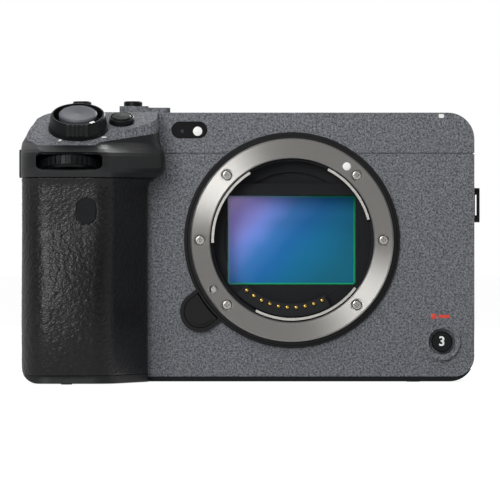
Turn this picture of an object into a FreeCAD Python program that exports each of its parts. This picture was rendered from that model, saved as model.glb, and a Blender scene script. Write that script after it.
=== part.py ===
import FreeCAD, Part
import Sketcher
import math
import os
from FreeCAD import Placement, Rotation, Vector

# A compact interchangeable-lens cinema camera without lens.
# Millimetres. +Z up, the lens side faces -Y, the grip is on the -X side.
# The origin is the mouth of the tripod socket, under the lens axis.

SIZES = {
    # casing
    "body_right": 51.4,
    "body_left": 75.4,
    "body_front": 17.0,
    "body_back": 28.0,
    "shell_seam": 10.0,
    "lid_back": 20.0,
    "seam_height": 64.4,
    "lid_high": 11.3,
    "base_band": 1.4,
    "base_corner": 7.0,
    "heel_corner": 3.6,
    "grip_heel": 5.0,
    "groove_high": 0.35,
    "groove_deep": 0.4,
    "lip_height": 3.5,
    "heel_lip": 2.4,
    "top_corner": 7.5,
    "shoulder": 10.0,
    "wall": 2.0,
    "gap": 0.3,
    # lens mount
    "mount_height": 39.8,
    "flange_proud": 3.0,
    "mount_radius": 28.6,
    "throat_radius": 23.05,
    "mount_thick": 2.6,
    "trim_radius": 30.35,
    "trim_proud": 1.7,
    "trim_step": 0.75,
    "screw_circle": 25.8,
    "screw_head": 1.4,
    "screw_head_high": 0.8,
    "screw_well": 1.8,
    "screw_well_deep": 1.1,
    "pin_circle": 26.1,
    "pin_angle": 212.0,
    "pin_radius": 1.05,
    "pin_proud": 1.2,
    "pin_slack": 0.08,
    "release_circle": 32.8,
    "release_angle": 218.0,
    "release_radius": 4.4,
    "release_proud": 1.5,
    "release_length": 4.4,
    "release_travel": 1.4,
    "surround_radius": 5.7,
    "neck_start": 29.8,
    "pad_step": 0.5,
    "pad_inset": 0.8,
    "claw_radius": 22.3,
    "claw_deep": 1.4,
    "block_inner": 18.0,
    "block_outer": 21.6,
    "block_recess": 1.6,
    "block_deep": 3.1,
    "contact_circle": 19.0,
    "contact_radius": 0.6,
    "contact_first": 228.0,
    "contact_step": 7.63,
    "contact_count": 10,
    "contact_proud": 0.5,
    # chassis, shutter and sensor
    "chassis_thick": 3.0,
    "baffle_plate": 1.0,
    "baffle_deep": 7.0,
    "baffle_wall": 0.7,
    "ledge_radius": 19.2,
    "ledge_high": 1.3,
    "hood_high": 3.4,
    "hood_deep": 2.1,
    "window_wide": 36.0,
    "window_high": 25.0,
    "frame_margin": 1.1,
    "baffle_margin": 0.1,
    "frame_thick": 4.0,
    "blade_high": 10.4,
    "blade_thick": 0.4,
    "blade_pitch": 0.65,
    "blade_count": 3,
    "sensor_front": 3.6,
    "package_margin": 3.0,
    "package_thick": 2.4,
    "glass_step": 0.4,
    "stage_thick": 2.0,
    "stage_wide": 58.0,
    "stage_high": 45.6,
    # board, heat sink and fan
    "sink_plate": 1.6,
    "fin_deep": 4.6,
    "fin_thick": 1.0,
    "fin_pitch": 6.0,
    "fin_count": 11,
    "board_thick": 1.4,
    "fan_x": 24.0,
    "fan_z": 30.0,
    "fan_radius": 14.0,
    "fan_deep": 8.0,
    "fan_wall": 1.7,
    "fan_blades": 9,
    "hub_radius": 5.0,
    "shaft_radius": 1.0,
    "shaft_slack": 0.05,
    # grip
    "grip_left": 75.3,
    "grip_front": 44.8,
    "grip_nose": 50.5,
    "grip_root": 40.4,
    "grip_flank": 21.0,
    "waist_drop": 9.6,
    "brow_low_drop": 4.6,
    "brow_drop": 1.4,
    "brow_left": 75.5,
    "brow_front": 46.2,
    "brow_nose": 52.5,
    "brow_root": 35.6,
    "brow_flank": 27.5,
    "rim_rise": 2.5,
    "rim_left": 75.3,
    "rim_front": 40.1,
    "rim_nose": 56.5,
    "rim_root": 37.0,
    "rim_flank": 28.8,
    "crown_left": 69.5,
    "crown_front": 36.0,
    "crown_nose": 58.0,
    "crown_root": 38.0,
    "crown_flank": 26.5,
    "skin_thick": 0.8,
    "skin_rise": 2.4,
    "skin_bottom": 2.2,
    "deck_tilt": 26.3,
    "deck_y": 32.0,
    "deck_drop": 4.9,
    "deck_thick": 1.5,
    "deck_rim": 0.9,
    "split_y": 41.0,
    "split_rise": 1.8,
    "split_tilt": 15.1,
    # battery
    "battery_left": 71.6,
    "battery_wide": 22.7,
    "battery_front": 39.0,
    "battery_deep": 38.7,
    "battery_drop": 1.1,
    "battery_lift": 0.6,
    "door_gap": 0.25,
    # top controls
    "ring_x": 59.7,
    "ring_base": 8.35,
    "ring_top": 7.3,
    "ring_high": 4.5,
    "ring_bore": 6.1,
    "ring_skirt": 1.0,
    "ring_well": 2.6,
    "shutter_radius": 5.35,
    "shutter_cap": 1.5,
    "shutter_proud": 0.35,
    "shutter_travel": 1.2,
    "stem_radius": 2.0,
    "deck_button_x": 47.7,
    "deck_button_y": 27.7,
    "deck_button_radius": 3.45,
    "deck_button_high": 1.45,
    "plinth_x": 41.9,
    "plinth_wide": 14.4,
    "plinth_deep": 12.0,
    "plinth_high": 2.4,
    "plinth_step": 0.45,
    "plinth_step_x": 40.9,
    "top_button_y": 10.0,
    "top_button_radius": 2.65,
    "top_button_x": 45.3,
    "top_button_high": 1.5,
    "far_button_x": 59.9,
    "button_travel": 0.8,
    # dials
    "dial_radius": 8.7,
    "dial_thick": 3.6,
    "dial_x": 61.8,
    "dial_tilt": 15.0,
    "dial_slack": 0.5,
    "lip_bevel": 0.9,
    "dial_front": 47.0,
    "dial_drop": 4.6,
    "dial_ribs": 36,
    "rear_dial_x": 58.0,
    "rear_dial_rise": 2.0,
    "rear_dial_proud": 1.4,
    "axle_radius": 1.2,
    # front details
    "tally_x": 28.9,
    "tally_drop": 4.9,
    "tally_wide": 10.2,
    "tally_high": 4.8,
    "tally_deep": 1.0,
    "record_x": 42.2,
    "record_z": 11.2,
    "record_collar": 5.25,
    "record_collar_proud": 0.8,
    "record_well": 3.75,
    "record_radius": 2.95,
    "remote_x": 57.1,
    "remote_drop": 7.1,
    "remote_wide": 5.2,
    "remote_high": 7.0,
    # right side
    "port_front": 6.3,
    "port_back": 7.3,
    "data_bottom": 8.0,
    "data_top": 32.0,
    "audio_bottom": 34.0,
    "audio_drop": 4.4,
    "jack_radius": 1.75,
    "door_thick": 1.6,
    "grille_front": 12.5,
    "grille_back": 22.5,
    "grille_bottom": 12.0,
    "grille_drop": 14.4,
    "side_bush_y": 17.5,
    "side_bush_drop": 7.4,
    "grille_slots": 9,
    "lug_bottom": 44.8,
    "lug_top": 54.6,
    "lug_proud": 1.6,
    "lug_wide": 5.0,
    "right_lug": 3.0,
    "left_lug": 5.0,
    "socket_radius": 3.175,
    "socket_length": 5.5,
    "bush_radius": 4.75,
    # left side
    "card_front": 12.5,
    "card_back": 24.0,
    "card_bottom": 12.0,
    "card_top": 56.0,
    "card_slot_wide": 24.6,
    "card_slot_thick": 2.6,
    # accessory shoe
    "shoe_wide": 22.0,
    "shoe_front": 3.0,
    "shoe_recess": 4.4,
    "shoe_slot": 18.7,
    "shoe_mouth": 12.6,
    "shoe_slot_high": 2.1,
    "shoe_sheet": 1.0,
    # monitor
    "monitor_left": 28.0,
    "monitor_right": 42.0,
    "monitor_bottom": 8.0,
    "monitor_top": 62.0,
    "monitor_thick": 7.0,
    "monitor_gap": 0.4,
    "screen_border": 4.0,
    "screen_thick": 0.6,
    "hinge_x": 47.0,
    "hinge_out": 3.4,
    "hinge_radius": 2.6,
    "hinge_bottom": 17.0,
    "hinge_top": 53.0,
    "hinge_pin": 1.0,
    # rear controls
    "wheel_x": 58.0,
    "wheel_z": 21.0,
    "wheel_radius": 12.0,
    "wheel_inner": 5.6,
    "wheel_thick": 2.2,
    "key_radius": 5.3,
    "stick_x": 42.0,
    "stick_z": 50.0,
    "stick_radius": 3.6,
    "stick_hole": 2.0,
    "stick_high": 3.2,
    "menu_x": 36.0,
    "menu_z": 60.0,
    "playback_x": 38.0,
    "playback_z": 36.0,
    "delete_x": 38.0,
    "delete_z": 8.0,
    "small_key": 2.6,
    "key_proud": 0.8,
}


class Size:
    """A dimension: the words that a formula uses for it, and what it is now."""

    def __init__(self, words, now):
        self.words = words
        self.now = now

    def join(self, sign, other, now):
        return Size("(%s %s %s)" % (self.words, sign, other.words), now)

    def __add__(self, other):
        other = size(other)
        return self.join("+", other, self.now + other.now)

    def __sub__(self, other):
        other = size(other)
        return self.join("-", other, self.now - other.now)

    def __mul__(self, other):
        other = size(other)
        return self.join("*", other, self.now * other.now)

    def __truediv__(self, other):
        other = size(other)
        return self.join("/", other, self.now / other.now)

    def __neg__(self):
        return Size("(0 - %s)" % self.words, -self.now)

    def __radd__(self, other):
        return size(other) + self

    def __rsub__(self, other):
        return size(other) - self

    def __rmul__(self, other):
        return size(other) * self


def size(value):
    if isinstance(value, Size):
        return value
    return Size(repr(float(value)), float(value))


def cosine(angle):
    return Size("cos(%s * 1 deg)" % angle.words, math.cos(math.radians(angle.now)))


def sine(angle):
    return Size("sin(%s * 1 deg)" % angle.words, math.sin(math.radians(angle.now)))


class Sheet:
    """The driving dimensions, each a cell with a name."""

    def __init__(self, document):
        cells = document.addObject("Spreadsheet::Sheet", "Sizes")
        for row, (name, value) in enumerate(SIZES.items(), 1):
            cells.set("A%d" % row, name)
            cells.set("B%d" % row, str(value))
            cells.setAlias("B%d" % row, name)
        document.recompute()

    def __getattr__(self, name):
        return Size("Sizes.%s" % name, float(SIZES[name]))


doc = FreeCAD.newDocument("camera")
s = Sheet(doc)
pieces = []


def bind(thing, prop, value):
    thing.setExpression(prop, size(value).words)


def place(thing, x=0, y=0, z=0, axis=(1, 0, 0), angle=0):
    """Put a piece at x, y, z, turned by angle about an axis of its own."""
    x, y, z, angle = size(x), size(y), size(z), size(angle)
    thing.Placement = Placement(
        Vector(x.now, y.now, z.now), Rotation(Vector(*axis), angle.now)
    )
    bind(thing, "Placement.Base.x", x)
    bind(thing, "Placement.Base.y", y)
    bind(thing, "Placement.Base.z", z)
    if angle.words != "0.0":
        bind(thing, "Placement.Rotation.Angle", angle)
    return thing


def keep(thing):
    pieces.append(thing)
    return thing


class Solid:
    """A part body: sketches on its own origin planes, padded, cut and rounded.

    Plane XY is drawn in x, y and grows in z; XZ is drawn in x, z and grows in y;
    YZ is drawn in y, z and grows in x.
    """

    def __init__(self, label):
        self.body = doc.addObject("PartDesign::Body", label)
        self.body.Label = label
        self.planes = {f.Role: f for f in self.body.Origin.OriginFeatures}

    def sketch(self, plane, level, shapes):
        drawing = self.body.newObject("Sketcher::SketchObject", self.body.Label + "_sketch")
        drawing.AttachmentSupport = [(self.planes[plane + "_Plane"], "")]
        drawing.MapMode = "FlatFace"
        level = size(level)
        if plane == "XZ":
            level = -level
        bind(drawing, "AttachmentOffset.Base.z", level)
        for shape in shapes:
            shape(drawing)
        return drawing

    def pad(self, plane, low, high, *shapes):
        start = high if plane == "XZ" else low
        feature = self.body.newObject("PartDesign::Pad", self.body.Label + "_pad")
        feature.Profile = self.sketch(plane, start, shapes)
        bind(feature, "Length", size(high) - size(low))
        return self.finish(feature)

    def cut(self, plane, low, high, *shapes):
        start = low if plane == "XZ" else high
        feature = self.body.newObject("PartDesign::Pocket", self.body.Label + "_pocket")
        feature.Profile = self.sketch(plane, start, shapes)
        bind(feature, "Length", size(high) - size(low))
        return self.finish(feature)

    def turn(self, *shapes):
        """Revolve shapes drawn in radius and height about the body's z axis."""
        feature = self.body.newObject("PartDesign::Revolution", self.body.Label + "_turned")
        feature.Profile = self.sketch("XZ", 0, shapes)
        feature.ReferenceAxis = (feature.Profile[0], ["V_Axis"])
        return self.finish(feature)

    def finish(self, feature):
        doc.recompute()
        self.last = feature
        return self

    def repeat(self, count, features=1):
        """Repeat the last features round the body's z axis."""
        group = [f for f in self.body.Group if f.isDerivedFrom("PartDesign::FeatureAddSub")]
        pattern = self.body.newObject("PartDesign::PolarPattern", self.body.Label + "_pattern")
        pattern.Originals = group[-features:]
        pattern.Axis = (self.planes["Z_Axis"], [""])
        pattern.Angle = 360
        bind(pattern, "Occurrences", count)
        self.body.Tip = pattern
        return self.finish(pattern)

    def row(self, axis, count, pitch):
        """Repeat the last feature along an axis of the body."""
        original = self.last
        pattern = self.body.newObject("PartDesign::LinearPattern", self.body.Label + "_row")
        pattern.Originals = [original]
        pattern.Direction = (self.planes[axis + "_Axis"], [""])
        bind(pattern, "Length", (size(count) - 1) * pitch)
        bind(pattern, "Occurrences", count)
        self.body.Tip = pattern
        return self.finish(pattern)

    def edges(self, axis, choose):
        direction = {"X": Vector(1, 0, 0), "Y": Vector(0, 1, 0), "Z": Vector(0, 0, 1)}.get(axis)
        names = []
        for number, edge in enumerate(self.body.Shape.Edges, 1):
            straight = edge.Curve.TypeId == "Part::GeomLine"
            if direction is None:
                fits = not straight
            else:
                fits = straight and abs(edge.Curve.Direction.dot(direction)) > 0.999
            if fits and choose(edge.CenterOfMass):
                names.append("Edge%d" % number)
        return names

    def blend(self, axis, radius, choose=lambda p: True, kind="Fillet"):
        """Round or bevel the edges along an axis (or the curved ones, with None)."""
        names = self.edges(axis, choose)
        feature = self.body.newObject("PartDesign::" + kind, self.body.Label + "_edge")
        feature.Base = (self.last, names)
        bind(feature, "Radius" if kind == "Fillet" else "Size", radius)
        return self.finish(feature)

    def done(self, **where):
        place(self.body, **where)
        return keep(self.body)


def disc(x, y, radius):
    x, y, radius = size(x), size(y), size(radius)

    def draw(drawing):
        circle = Part.Circle(Vector(x.now, y.now, 0), Vector(0, 0, 1), radius.now)
        number = drawing.addGeometry(circle, False)
        fix_point(drawing, number, 3, x, y)
        fix(drawing, Sketcher.Constraint("Radius", number, radius.now), radius)

    return draw


def fix(drawing, constraint, value):
    number = drawing.addConstraint(constraint)
    drawing.setExpression("Constraints[%d]" % number, value.words)


def fix_point(drawing, number, point, x, y):
    for kind, value in (("DistanceX", x), ("DistanceY", y)):
        fix(drawing, Sketcher.Constraint(kind, -1, 1, number, point, value.now), value)


def outline(*corners):
    """A closed outline. A corner is x, y, or x, y, radius where square sides meet."""
    corners = [[size(v) for v in corner] for corner in corners]

    def heading(a, b):
        dx, dy = b[0].now - a[0].now, b[1].now - a[1].now
        length = math.hypot(dx, dy)
        return round(dx / length), round(dy / length)

    def draw(drawing):
        stops = []
        for i, corner in enumerate(corners):
            x, y = corner[:2]
            if len(corner) == 2:
                stops.append(((x, y), (x, y), None))
                continue
            radius = corner[2]
            ix, iy = heading(corners[i - 1], corner)
            ox, oy = heading(corner, corners[(i + 1) % len(corners)])
            start = (x - radius * ix, y - radius * iy)
            end = (x + radius * ox, y + radius * oy)
            centre = (start[0] + radius * ox, start[1] + radius * oy)
            stops.append((start, end, (centre, radius, ix * oy - iy * ox)))
        chain = []
        for i, (start, end, bend) in enumerate(stops):
            if bend:
                chain.append(draw_bend(drawing, start, end, bend))
            after = stops[(i + 1) % len(stops)][0]
            line = Part.LineSegment(flat(end), flat(after))
            number = drawing.addGeometry(line, False)
            chain.append((number, 1, 2))
            if not bend:
                fix_point(drawing, number, 1, *end)
        for (first, _, tail), (second, head, _) in zip(chain, chain[1:] + chain[:1]):
            joined = Sketcher.Constraint("Coincident", first, tail, second, head)
            drawing.addConstraint(joined)

    return draw


def flat(point):
    return Vector(point[0].now, point[1].now, 0)


def draw_bend(drawing, start, end, bend):
    """One rounded corner: its ends and radius are fixed. Returns arc, first and last point."""
    centre, radius, turn = bend
    middle = flat(centre)
    first, last = (start, end) if turn > 0 else (end, start)
    angles = [math.atan2((flat(p) - middle).y, (flat(p) - middle).x) for p in (first, last)]
    circle = Part.Circle(middle, Vector(0, 0, 1), radius.now)
    number = drawing.addGeometry(Part.ArcOfCircle(circle, *angles), False)
    fix_point(drawing, number, 1, *first)
    fix_point(drawing, number, 2, *last)
    fix(drawing, Sketcher.Constraint("Radius", number, radius.now), radius)
    return (number, 1, 2) if turn > 0 else (number, 2, 1)


def rect(left, right, bottom, top, radius=None):
    corners = [(left, bottom), (right, bottom), (right, top), (left, top)]
    if radius is not None:
        corners = [corner + (radius,) for corner in corners]
    return outline(*corners)


def pill(x, y, wide, high):
    """A slot with round ends, longer along its wide or its high side."""
    x, y, wide, high = size(x), size(y), size(wide), size(high)
    radius = (wide if wide.now < high.now else high) / 2

    def draw(drawing):
        if wide.now > high.now:
            ends = [(x + wide / 2 - radius, y), (x - wide / 2 + radius, y)]
            turn = -90
        else:
            ends = [(x, y + high / 2 - radius), (x, y - high / 2 + radius)]
            turn = 0
        arcs = []
        for (cx, cy), start in zip(ends, (turn, turn + 180)):
            circle = Part.Circle(flat((cx, cy)), Vector(0, 0, 1), radius.now)
            arc = Part.ArcOfCircle(circle, math.radians(start), math.radians(start + 180))
            number = drawing.addGeometry(arc, False)
            fix_point(drawing, number, 3, cx, cy)
            fix(drawing, Sketcher.Constraint("Radius", number, radius.now), radius)
            arcs.append(number)
        for a, b in (arcs, arcs[::-1]):
            from_point = drawing.getPoint(a, 2)
            to_point = drawing.getPoint(b, 1)
            line = drawing.addGeometry(Part.LineSegment(from_point, to_point), False)
            drawing.addConstraint(Sketcher.Constraint("Tangent", a, 2, line, 1))
            drawing.addConstraint(Sketcher.Constraint("Tangent", line, 2, b, 1))

    return draw


def rod(label, radius, length, sweep=360, **where):
    """A plain round bar along its own z axis."""
    bar = doc.addObject("Part::Cylinder", label)
    bind(bar, "Radius", radius)
    bind(bar, "Height", length)
    bind(bar, "Angle", sweep)
    return place(bar, **where)


def combine(kind, label, base, *tools):
    """A boolean of finished pieces: Cut takes all tools away, Common keeps the shared part."""
    if len(tools) > 1:
        joined = doc.addObject("Part::MultiFuse", label + "_tools")
        joined.Shapes = list(tools)
        tools = (joined,)
    made = doc.addObject("Part::" + kind, label)
    if kind in ("MultiFuse", "MultiCommon"):
        made.Shapes = [base, *tools]
    else:
        made.Base = base
        made.Tool = tools[0]
    made.Label = label
    return made


def group(label, members):
    """Like pieces that share one node, each its own solid."""
    made = doc.addObject("Part::Compound", label)
    made.Links = members
    made.Label = label
    return keep(made)


# Levels that many pieces share
LEFT = -s.body_left
RIGHT = s.body_right
FRONT = -s.body_front
BACK = s.body_back
INNER_LEFT = LEFT + s.wall
INNER_RIGHT = RIGHT - s.wall
BASE_TOP = s.base_band
SEAM = s.seam_height
TOP = SEAM + s.lid_high
WAIST = SEAM - s.waist_drop
SKIN_TOP = WAIST + s.skin_rise
DECK_Z = TOP - s.deck_drop
DIAL_Z = SEAM - s.dial_drop
REAR_DIAL_Z = SEAM + s.rear_dial_rise
TALLY_Z = TOP - s.tally_drop
AUDIO_TOP = SEAM - s.audio_drop
GRILLE_TOP = SEAM - s.grille_drop
SIDE_BUSH_Z = SEAM - s.side_bush_drop
BATTERY_BOTTOM = BASE_TOP + s.battery_lift
BATTERY_TOP = WAIST - s.battery_drop
SHELL_CORNER = s.base_corner - s.base_band
SHELL_HEEL = s.heel_corner - s.base_band
CHASSIS_FRONT = FRONT + s.wall
CHASSIS_BACK = CHASSIS_FRONT + s.chassis_thick
BAFFLE_BACK = FRONT + s.baffle_deep
SHUTTER_FRONT = BAFFLE_BACK + s.gap
SHUTTER_BACK = SHUTTER_FRONT + s.frame_thick
SENSOR_FRONT = -s.sensor_front
PACKAGE_BACK = SENSOR_FRONT + s.glass_step + s.package_thick
CARRIAGE_BACK = PACKAGE_BACK + s.stage_thick
STAGE_FRONT = CARRIAGE_BACK + s.gap
STAGE_BACK = STAGE_FRONT + s.stage_thick
SINK_FRONT = STAGE_BACK + s.gap
SINK_BACK = SINK_FRONT + s.sink_plate + s.fin_deep
BOARD_FRONT = SINK_BACK + s.gap
BOARD_BACK = BOARD_FRONT + s.board_thick
FAN_FRONT = BOARD_BACK + s.gap
FAN_BACK = FAN_FRONT + s.fan_deep
MOUNT = s.mount_height
RELEASE_X = s.release_circle * cosine(s.release_angle)
RELEASE_Z = MOUNT + s.release_circle * sine(s.release_angle)
PIN_X = s.pin_circle * cosine(s.pin_angle)
PIN_Z = MOUNT + s.pin_circle * sine(s.pin_angle)
BATTERY_RIGHT = s.battery_wide - s.battery_left
BATTERY_BACK = s.battery_deep - s.battery_front
FLANGE = FRONT - s.flange_proud
BUTTON_WELL = s.button_travel + 1.1


def lens_polar(radius, angle):
    """A point of the lens mount: x and z of a radius at an angle, in degrees."""
    angle = size(angle)
    return radius * cosine(angle), MOUNT + radius * sine(angle)


# Front shell: front wall and two side walls, open behind, above and below
def front_shell():
    shell = Solid("front_shell")
    shell.pad("XZ", FRONT, s.shell_seam, outline(
        (LEFT, BASE_TOP, SHELL_HEEL), (RIGHT, BASE_TOP, SHELL_CORNER), (RIGHT, SEAM), (LEFT, SEAM)))
    shell.cut("XZ", CHASSIS_FRONT, s.shell_seam + 1,
              rect(INNER_LEFT, INNER_RIGHT, BASE_TOP - 1, SEAM + 1))
    shell.cut("XZ", FRONT - 1, CHASSIS_FRONT + 1, disc(0, MOUNT, s.mount_radius + 0.1))
    shell.cut("XZ", FRONT - 1, CHASSIS_FRONT + 1,
              rect(INNER_LEFT, BATTERY_RIGHT + s.gap, BASE_TOP - 1, BATTERY_TOP + 1.4))
    shell.pad("XZ", FRONT - s.record_collar_proud, FRONT, disc(s.record_x, s.record_z, s.record_collar))
    shell.cut("XZ", FRONT - s.record_collar_proud - 1, FRONT + 1.2, disc(s.record_x, s.record_z, s.record_well))
    shell.cut("XZ", FRONT, CHASSIS_FRONT + 1, disc(s.record_x, s.record_z, 1.3))
    for bottom, top in port_openings():
        shell.cut("YZ", INNER_RIGHT - 1, RIGHT + 1,
                  rect(-s.port_front, s.port_back, bottom, top, 1.5))
    release_cut(shell, FRONT - 1, CHASSIS_FRONT + 1, 0.3)
    # the shadow gap under the top cover
    shell.cut("XY", SEAM - s.groove_high, SEAM + 1,
              rect(LEFT - 1, RIGHT + 1, FRONT - 1, s.shell_seam + 1),
              rect(LEFT + s.groove_deep, RIGHT - s.groove_deep, FRONT + s.groove_deep, s.shell_seam + 2))
    shell.done()


def release_neck(radius):
    """The straight sides that join the release button's round end to the mount."""
    along = (cosine(s.release_angle), sine(s.release_angle))
    corners = []
    for reach, side in ((s.neck_start, -radius), (s.release_circle, -radius),
                        (s.release_circle, radius), (s.neck_start, radius)):
        corners.append((reach * along[0] - side * along[1], reach * along[1] + side * along[0]))
    return corners


def release_cut(piece, low, high, slack):
    """Open a plate behind the release button, drawn in the camera's own x and z."""
    radius = s.release_radius + slack
    piece.cut("XZ", low, high, disc(RELEASE_X, RELEASE_Z, radius))
    piece.cut("XZ", low, high, outline(*[(x, MOUNT + z) for x, z in release_neck(radius)]))


def port_openings():
    return (s.data_bottom, s.data_top), (s.audio_bottom, AUDIO_TOP)


# Rear shell: back wall and side walls, with the openings for the rear controls
def rear_shell():
    shell = Solid("rear_shell")
    shell.pad("XZ", s.shell_seam, BACK, outline(
        (LEFT, BASE_TOP, SHELL_HEEL), (RIGHT, BASE_TOP, SHELL_CORNER), (RIGHT, SEAM), (LEFT, SEAM)))
    shell.pad("XZ", s.lid_back, BACK, outline(
        (LEFT, SEAM), (RIGHT, SEAM), (RIGHT, TOP, s.top_corner), (LEFT, TOP, s.shoulder)))
    shell.blend("X", 2.0, lambda p: p.y > BACK.now - 0.1 and p.z > TOP.now - 0.1)
    inner = outline(
        (INNER_LEFT, BASE_TOP - 1), (INNER_RIGHT, BASE_TOP - 1),
        (INNER_RIGHT, TOP - s.wall, s.top_corner - s.wall),
        (INNER_LEFT, TOP - s.wall, s.shoulder - s.wall))
    shell.cut("XZ", s.shell_seam - 1, BACK - s.wall, inner)
    shell.cut("XZ", s.lid_back - 1, BACK + 1,
              rect(-s.shoe_wide / 2, s.shoe_wide / 2, TOP - s.shoe_recess, TOP + 1))
    shell.pad("XZ", s.lid_back, BACK, rect(
        -s.shoe_wide / 2 - s.wall, s.shoe_wide / 2 + s.wall,
        TOP - s.shoe_recess - 1.5, TOP - s.shoe_recess))
    shell.cut("YZ", LEFT - 1, INNER_LEFT + 1,
              rect(s.card_front, s.card_back, s.card_bottom, s.card_top, 1.5))
    shell.cut("YZ", INNER_RIGHT - 1, RIGHT + 1,
              rect(s.grille_front, s.grille_back, s.grille_bottom, GRILLE_TOP, 1.0))
    shell.cut("XZ", BACK - s.wall - 1, BACK + 1, rect(
        -s.rear_dial_x - s.dial_radius - 0.6, -s.rear_dial_x + s.dial_radius + 0.6,
        REAR_DIAL_Z - 0.3, REAR_DIAL_Z + s.dial_thick + 0.3, 1.0))
    shell.cut("XZ", BACK - s.wall - 1, BACK + 1, disc(-s.wheel_x, s.wheel_z, s.key_radius + s.gap))
    shell.cut("XZ", BACK - s.wall - 1, BACK + 1, disc(-s.stick_x, s.stick_z, s.stick_hole))
    for x, z in rear_keys().values():
        shell.cut("XZ", BACK - s.wall - 1, BACK + 1, disc(x, z, s.small_key + s.gap / 2))
    for low in (s.hinge_bottom - 4.7, s.hinge_top + s.gap):
        shell.pad("XY", low, low + 4.4, outline(
            (s.hinge_x - s.hinge_radius, BACK - 0.5), (s.hinge_x + s.hinge_radius, BACK - 0.5),
            (s.hinge_x + s.hinge_radius, BACK + s.hinge_out + s.hinge_radius, 2.2),
            (s.hinge_x - s.hinge_radius, BACK + s.hinge_out + s.hinge_radius, 2.2)))
        shell.cut("XY", low - 1, low + 6,
                  disc(s.hinge_x, BACK + s.hinge_out, s.hinge_pin + s.shaft_slack))
    shell.cut("YZ", INNER_RIGHT - 1, RIGHT + 1, disc(s.side_bush_y, SIDE_BUSH_Z, s.bush_radius))
    for low, high in ((LEFT - 1, LEFT + s.groove_deep), (RIGHT - s.groove_deep, RIGHT + 1)):
        shell.cut("XY", SEAM - s.groove_high, SEAM + 0.1, rect(low, high, s.shell_seam - 1, s.lid_back))
    shell.done()


def rear_keys():
    return {
        "menu_button": (-s.menu_x, s.menu_z),
        "playback_button": (-s.playback_x, s.playback_z),
        "delete_button": (-s.delete_x, s.delete_z),
    }


# Base plate: a shallow tray whose right edge wraps the corner of the shells
def base_plate():
    plate = Solid("base_plate")
    rise = s.base_corner + 0.4
    plate.pad("XZ", FRONT, BACK, outline(
        (LEFT, 0, s.heel_corner), (RIGHT, 0, s.base_corner), (RIGHT, rise), (LEFT, rise)))
    plate.cut("XZ", FRONT - 1, BACK + 1, outline(
        (LEFT, BASE_TOP, SHELL_HEEL), (RIGHT, BASE_TOP, SHELL_CORNER), (RIGHT, rise + 1), (LEFT, rise + 1)))
    plate.cut("XZ", FRONT - 1, BACK + 1, rect(0, RIGHT + 1, s.lip_height, rise + 2))
    plate.cut("XZ", FRONT - 1, BACK + 1, rect(LEFT - 1, 0, s.heel_lip, rise + 2))
    plate.cut("XY", -1, BASE_TOP + 1, rect(
        -s.battery_left - s.gap, BATTERY_RIGHT + s.gap, FRONT - 1, BATTERY_BACK + s.gap))
    plate.cut("XY", -1, BASE_TOP + 1, disc(0, 0, s.bush_radius))
    plate.cut("XY", -1, BASE_TOP + 1, rect(16, 32, 14.0, 15.6, 0.79))
    plate.row("Y", 3, size(3.2))
    for x, y in base_screws():
        plate.cut("XY", -1, 0.9, disc(x, y, 1.5))
    for x, y in rear_feet():
        plate.cut("XY", -1, 0.5, disc(x, y, 2.0))
    plate.done()


def base_screws():
    return (-32, -12), (38, -12), (-32, 22), (38, 22)


def rear_feet():
    return (34.4, -9), (34.4, 19), (-66, 20)


# Top cover: the lid, with the sloped deck that covers the head of the grip
def lid():
    cover = Solid("lid")
    cover.pad("XZ", FRONT, s.lid_back, outline(
        (LEFT, SEAM), (RIGHT, SEAM), (RIGHT, TOP, s.top_corner), (LEFT, TOP, s.shoulder)))
    cover.cut("XZ", CHASSIS_FRONT, s.lid_back + 1, outline(
        (INNER_LEFT, SEAM - 1), (INNER_RIGHT, SEAM - 1),
        (INNER_RIGHT, TOP - s.wall, s.top_corner - s.wall),
        (INNER_LEFT, TOP - s.wall, s.shoulder - s.wall)))
    half = s.shoe_wide / 2
    cover.pad("XY", TOP - s.shoe_recess - 1.5, TOP - 1, rect(
        -half - s.wall, half + s.wall, -s.shoe_front - s.wall, s.lid_back))
    cover.cut("XY", TOP - s.shoe_recess, TOP + 1, rect(-half, half, -s.shoe_front, s.lid_back + 1))
    cover.cut("XZ", FRONT - 1, CHASSIS_FRONT + 1, disc(0, MOUNT, s.mount_radius + 0.1))
    cover.cut("XZ", FRONT - 1, FRONT + s.tally_deep, pill(-s.tally_x, TALLY_Z, s.tally_wide, s.tally_high))
    for x, y in top_bushes():
        cover.pad("XY", TOP - s.socket_length - 1, TOP - 1, disc(x, y, s.bush_radius + 1))
        cover.cut("XY", TOP - s.socket_length - 2, TOP + 1, disc(x, y, s.bush_radius))
    cover.pad("XY", TOP - 0.5, TOP + s.plinth_high, rect(
        -s.plinth_x - s.plinth_wide / 2, -s.plinth_x + s.plinth_wide / 2,
        s.top_button_y - s.plinth_deep / 2, s.top_button_y + s.plinth_deep / 2, 2.0))
    cover.pad("XY", TOP - 0.5, TOP + s.plinth_high, disc(-s.far_button_x, s.top_button_y, s.top_button_radius + 1.4))
    cover.cut("XY", TOP + s.plinth_high - s.plinth_step, TOP + s.plinth_high + 1, rect(
        -s.plinth_step_x, -s.plinth_x + s.plinth_wide / 2 + 1,
        s.top_button_y - s.plinth_deep / 2 - 1, s.top_button_y + s.plinth_deep / 2 + 1))
    for x in (s.top_button_x, s.far_button_x):
        cover.cut("XY", TOP - s.wall - 1, TOP + s.plinth_high + 1,
                  disc(-x, s.top_button_y, s.top_button_radius - 1))
        cover.cut("XY", TOP + s.plinth_high - BUTTON_WELL, TOP + s.plinth_high + 1,
                  disc(-x, s.top_button_y, s.top_button_radius + 0.15))
    place(cover.body)
    return cover.body


def top_bushes():
    return (-23, 3), (23, 3), (38, 8)


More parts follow.
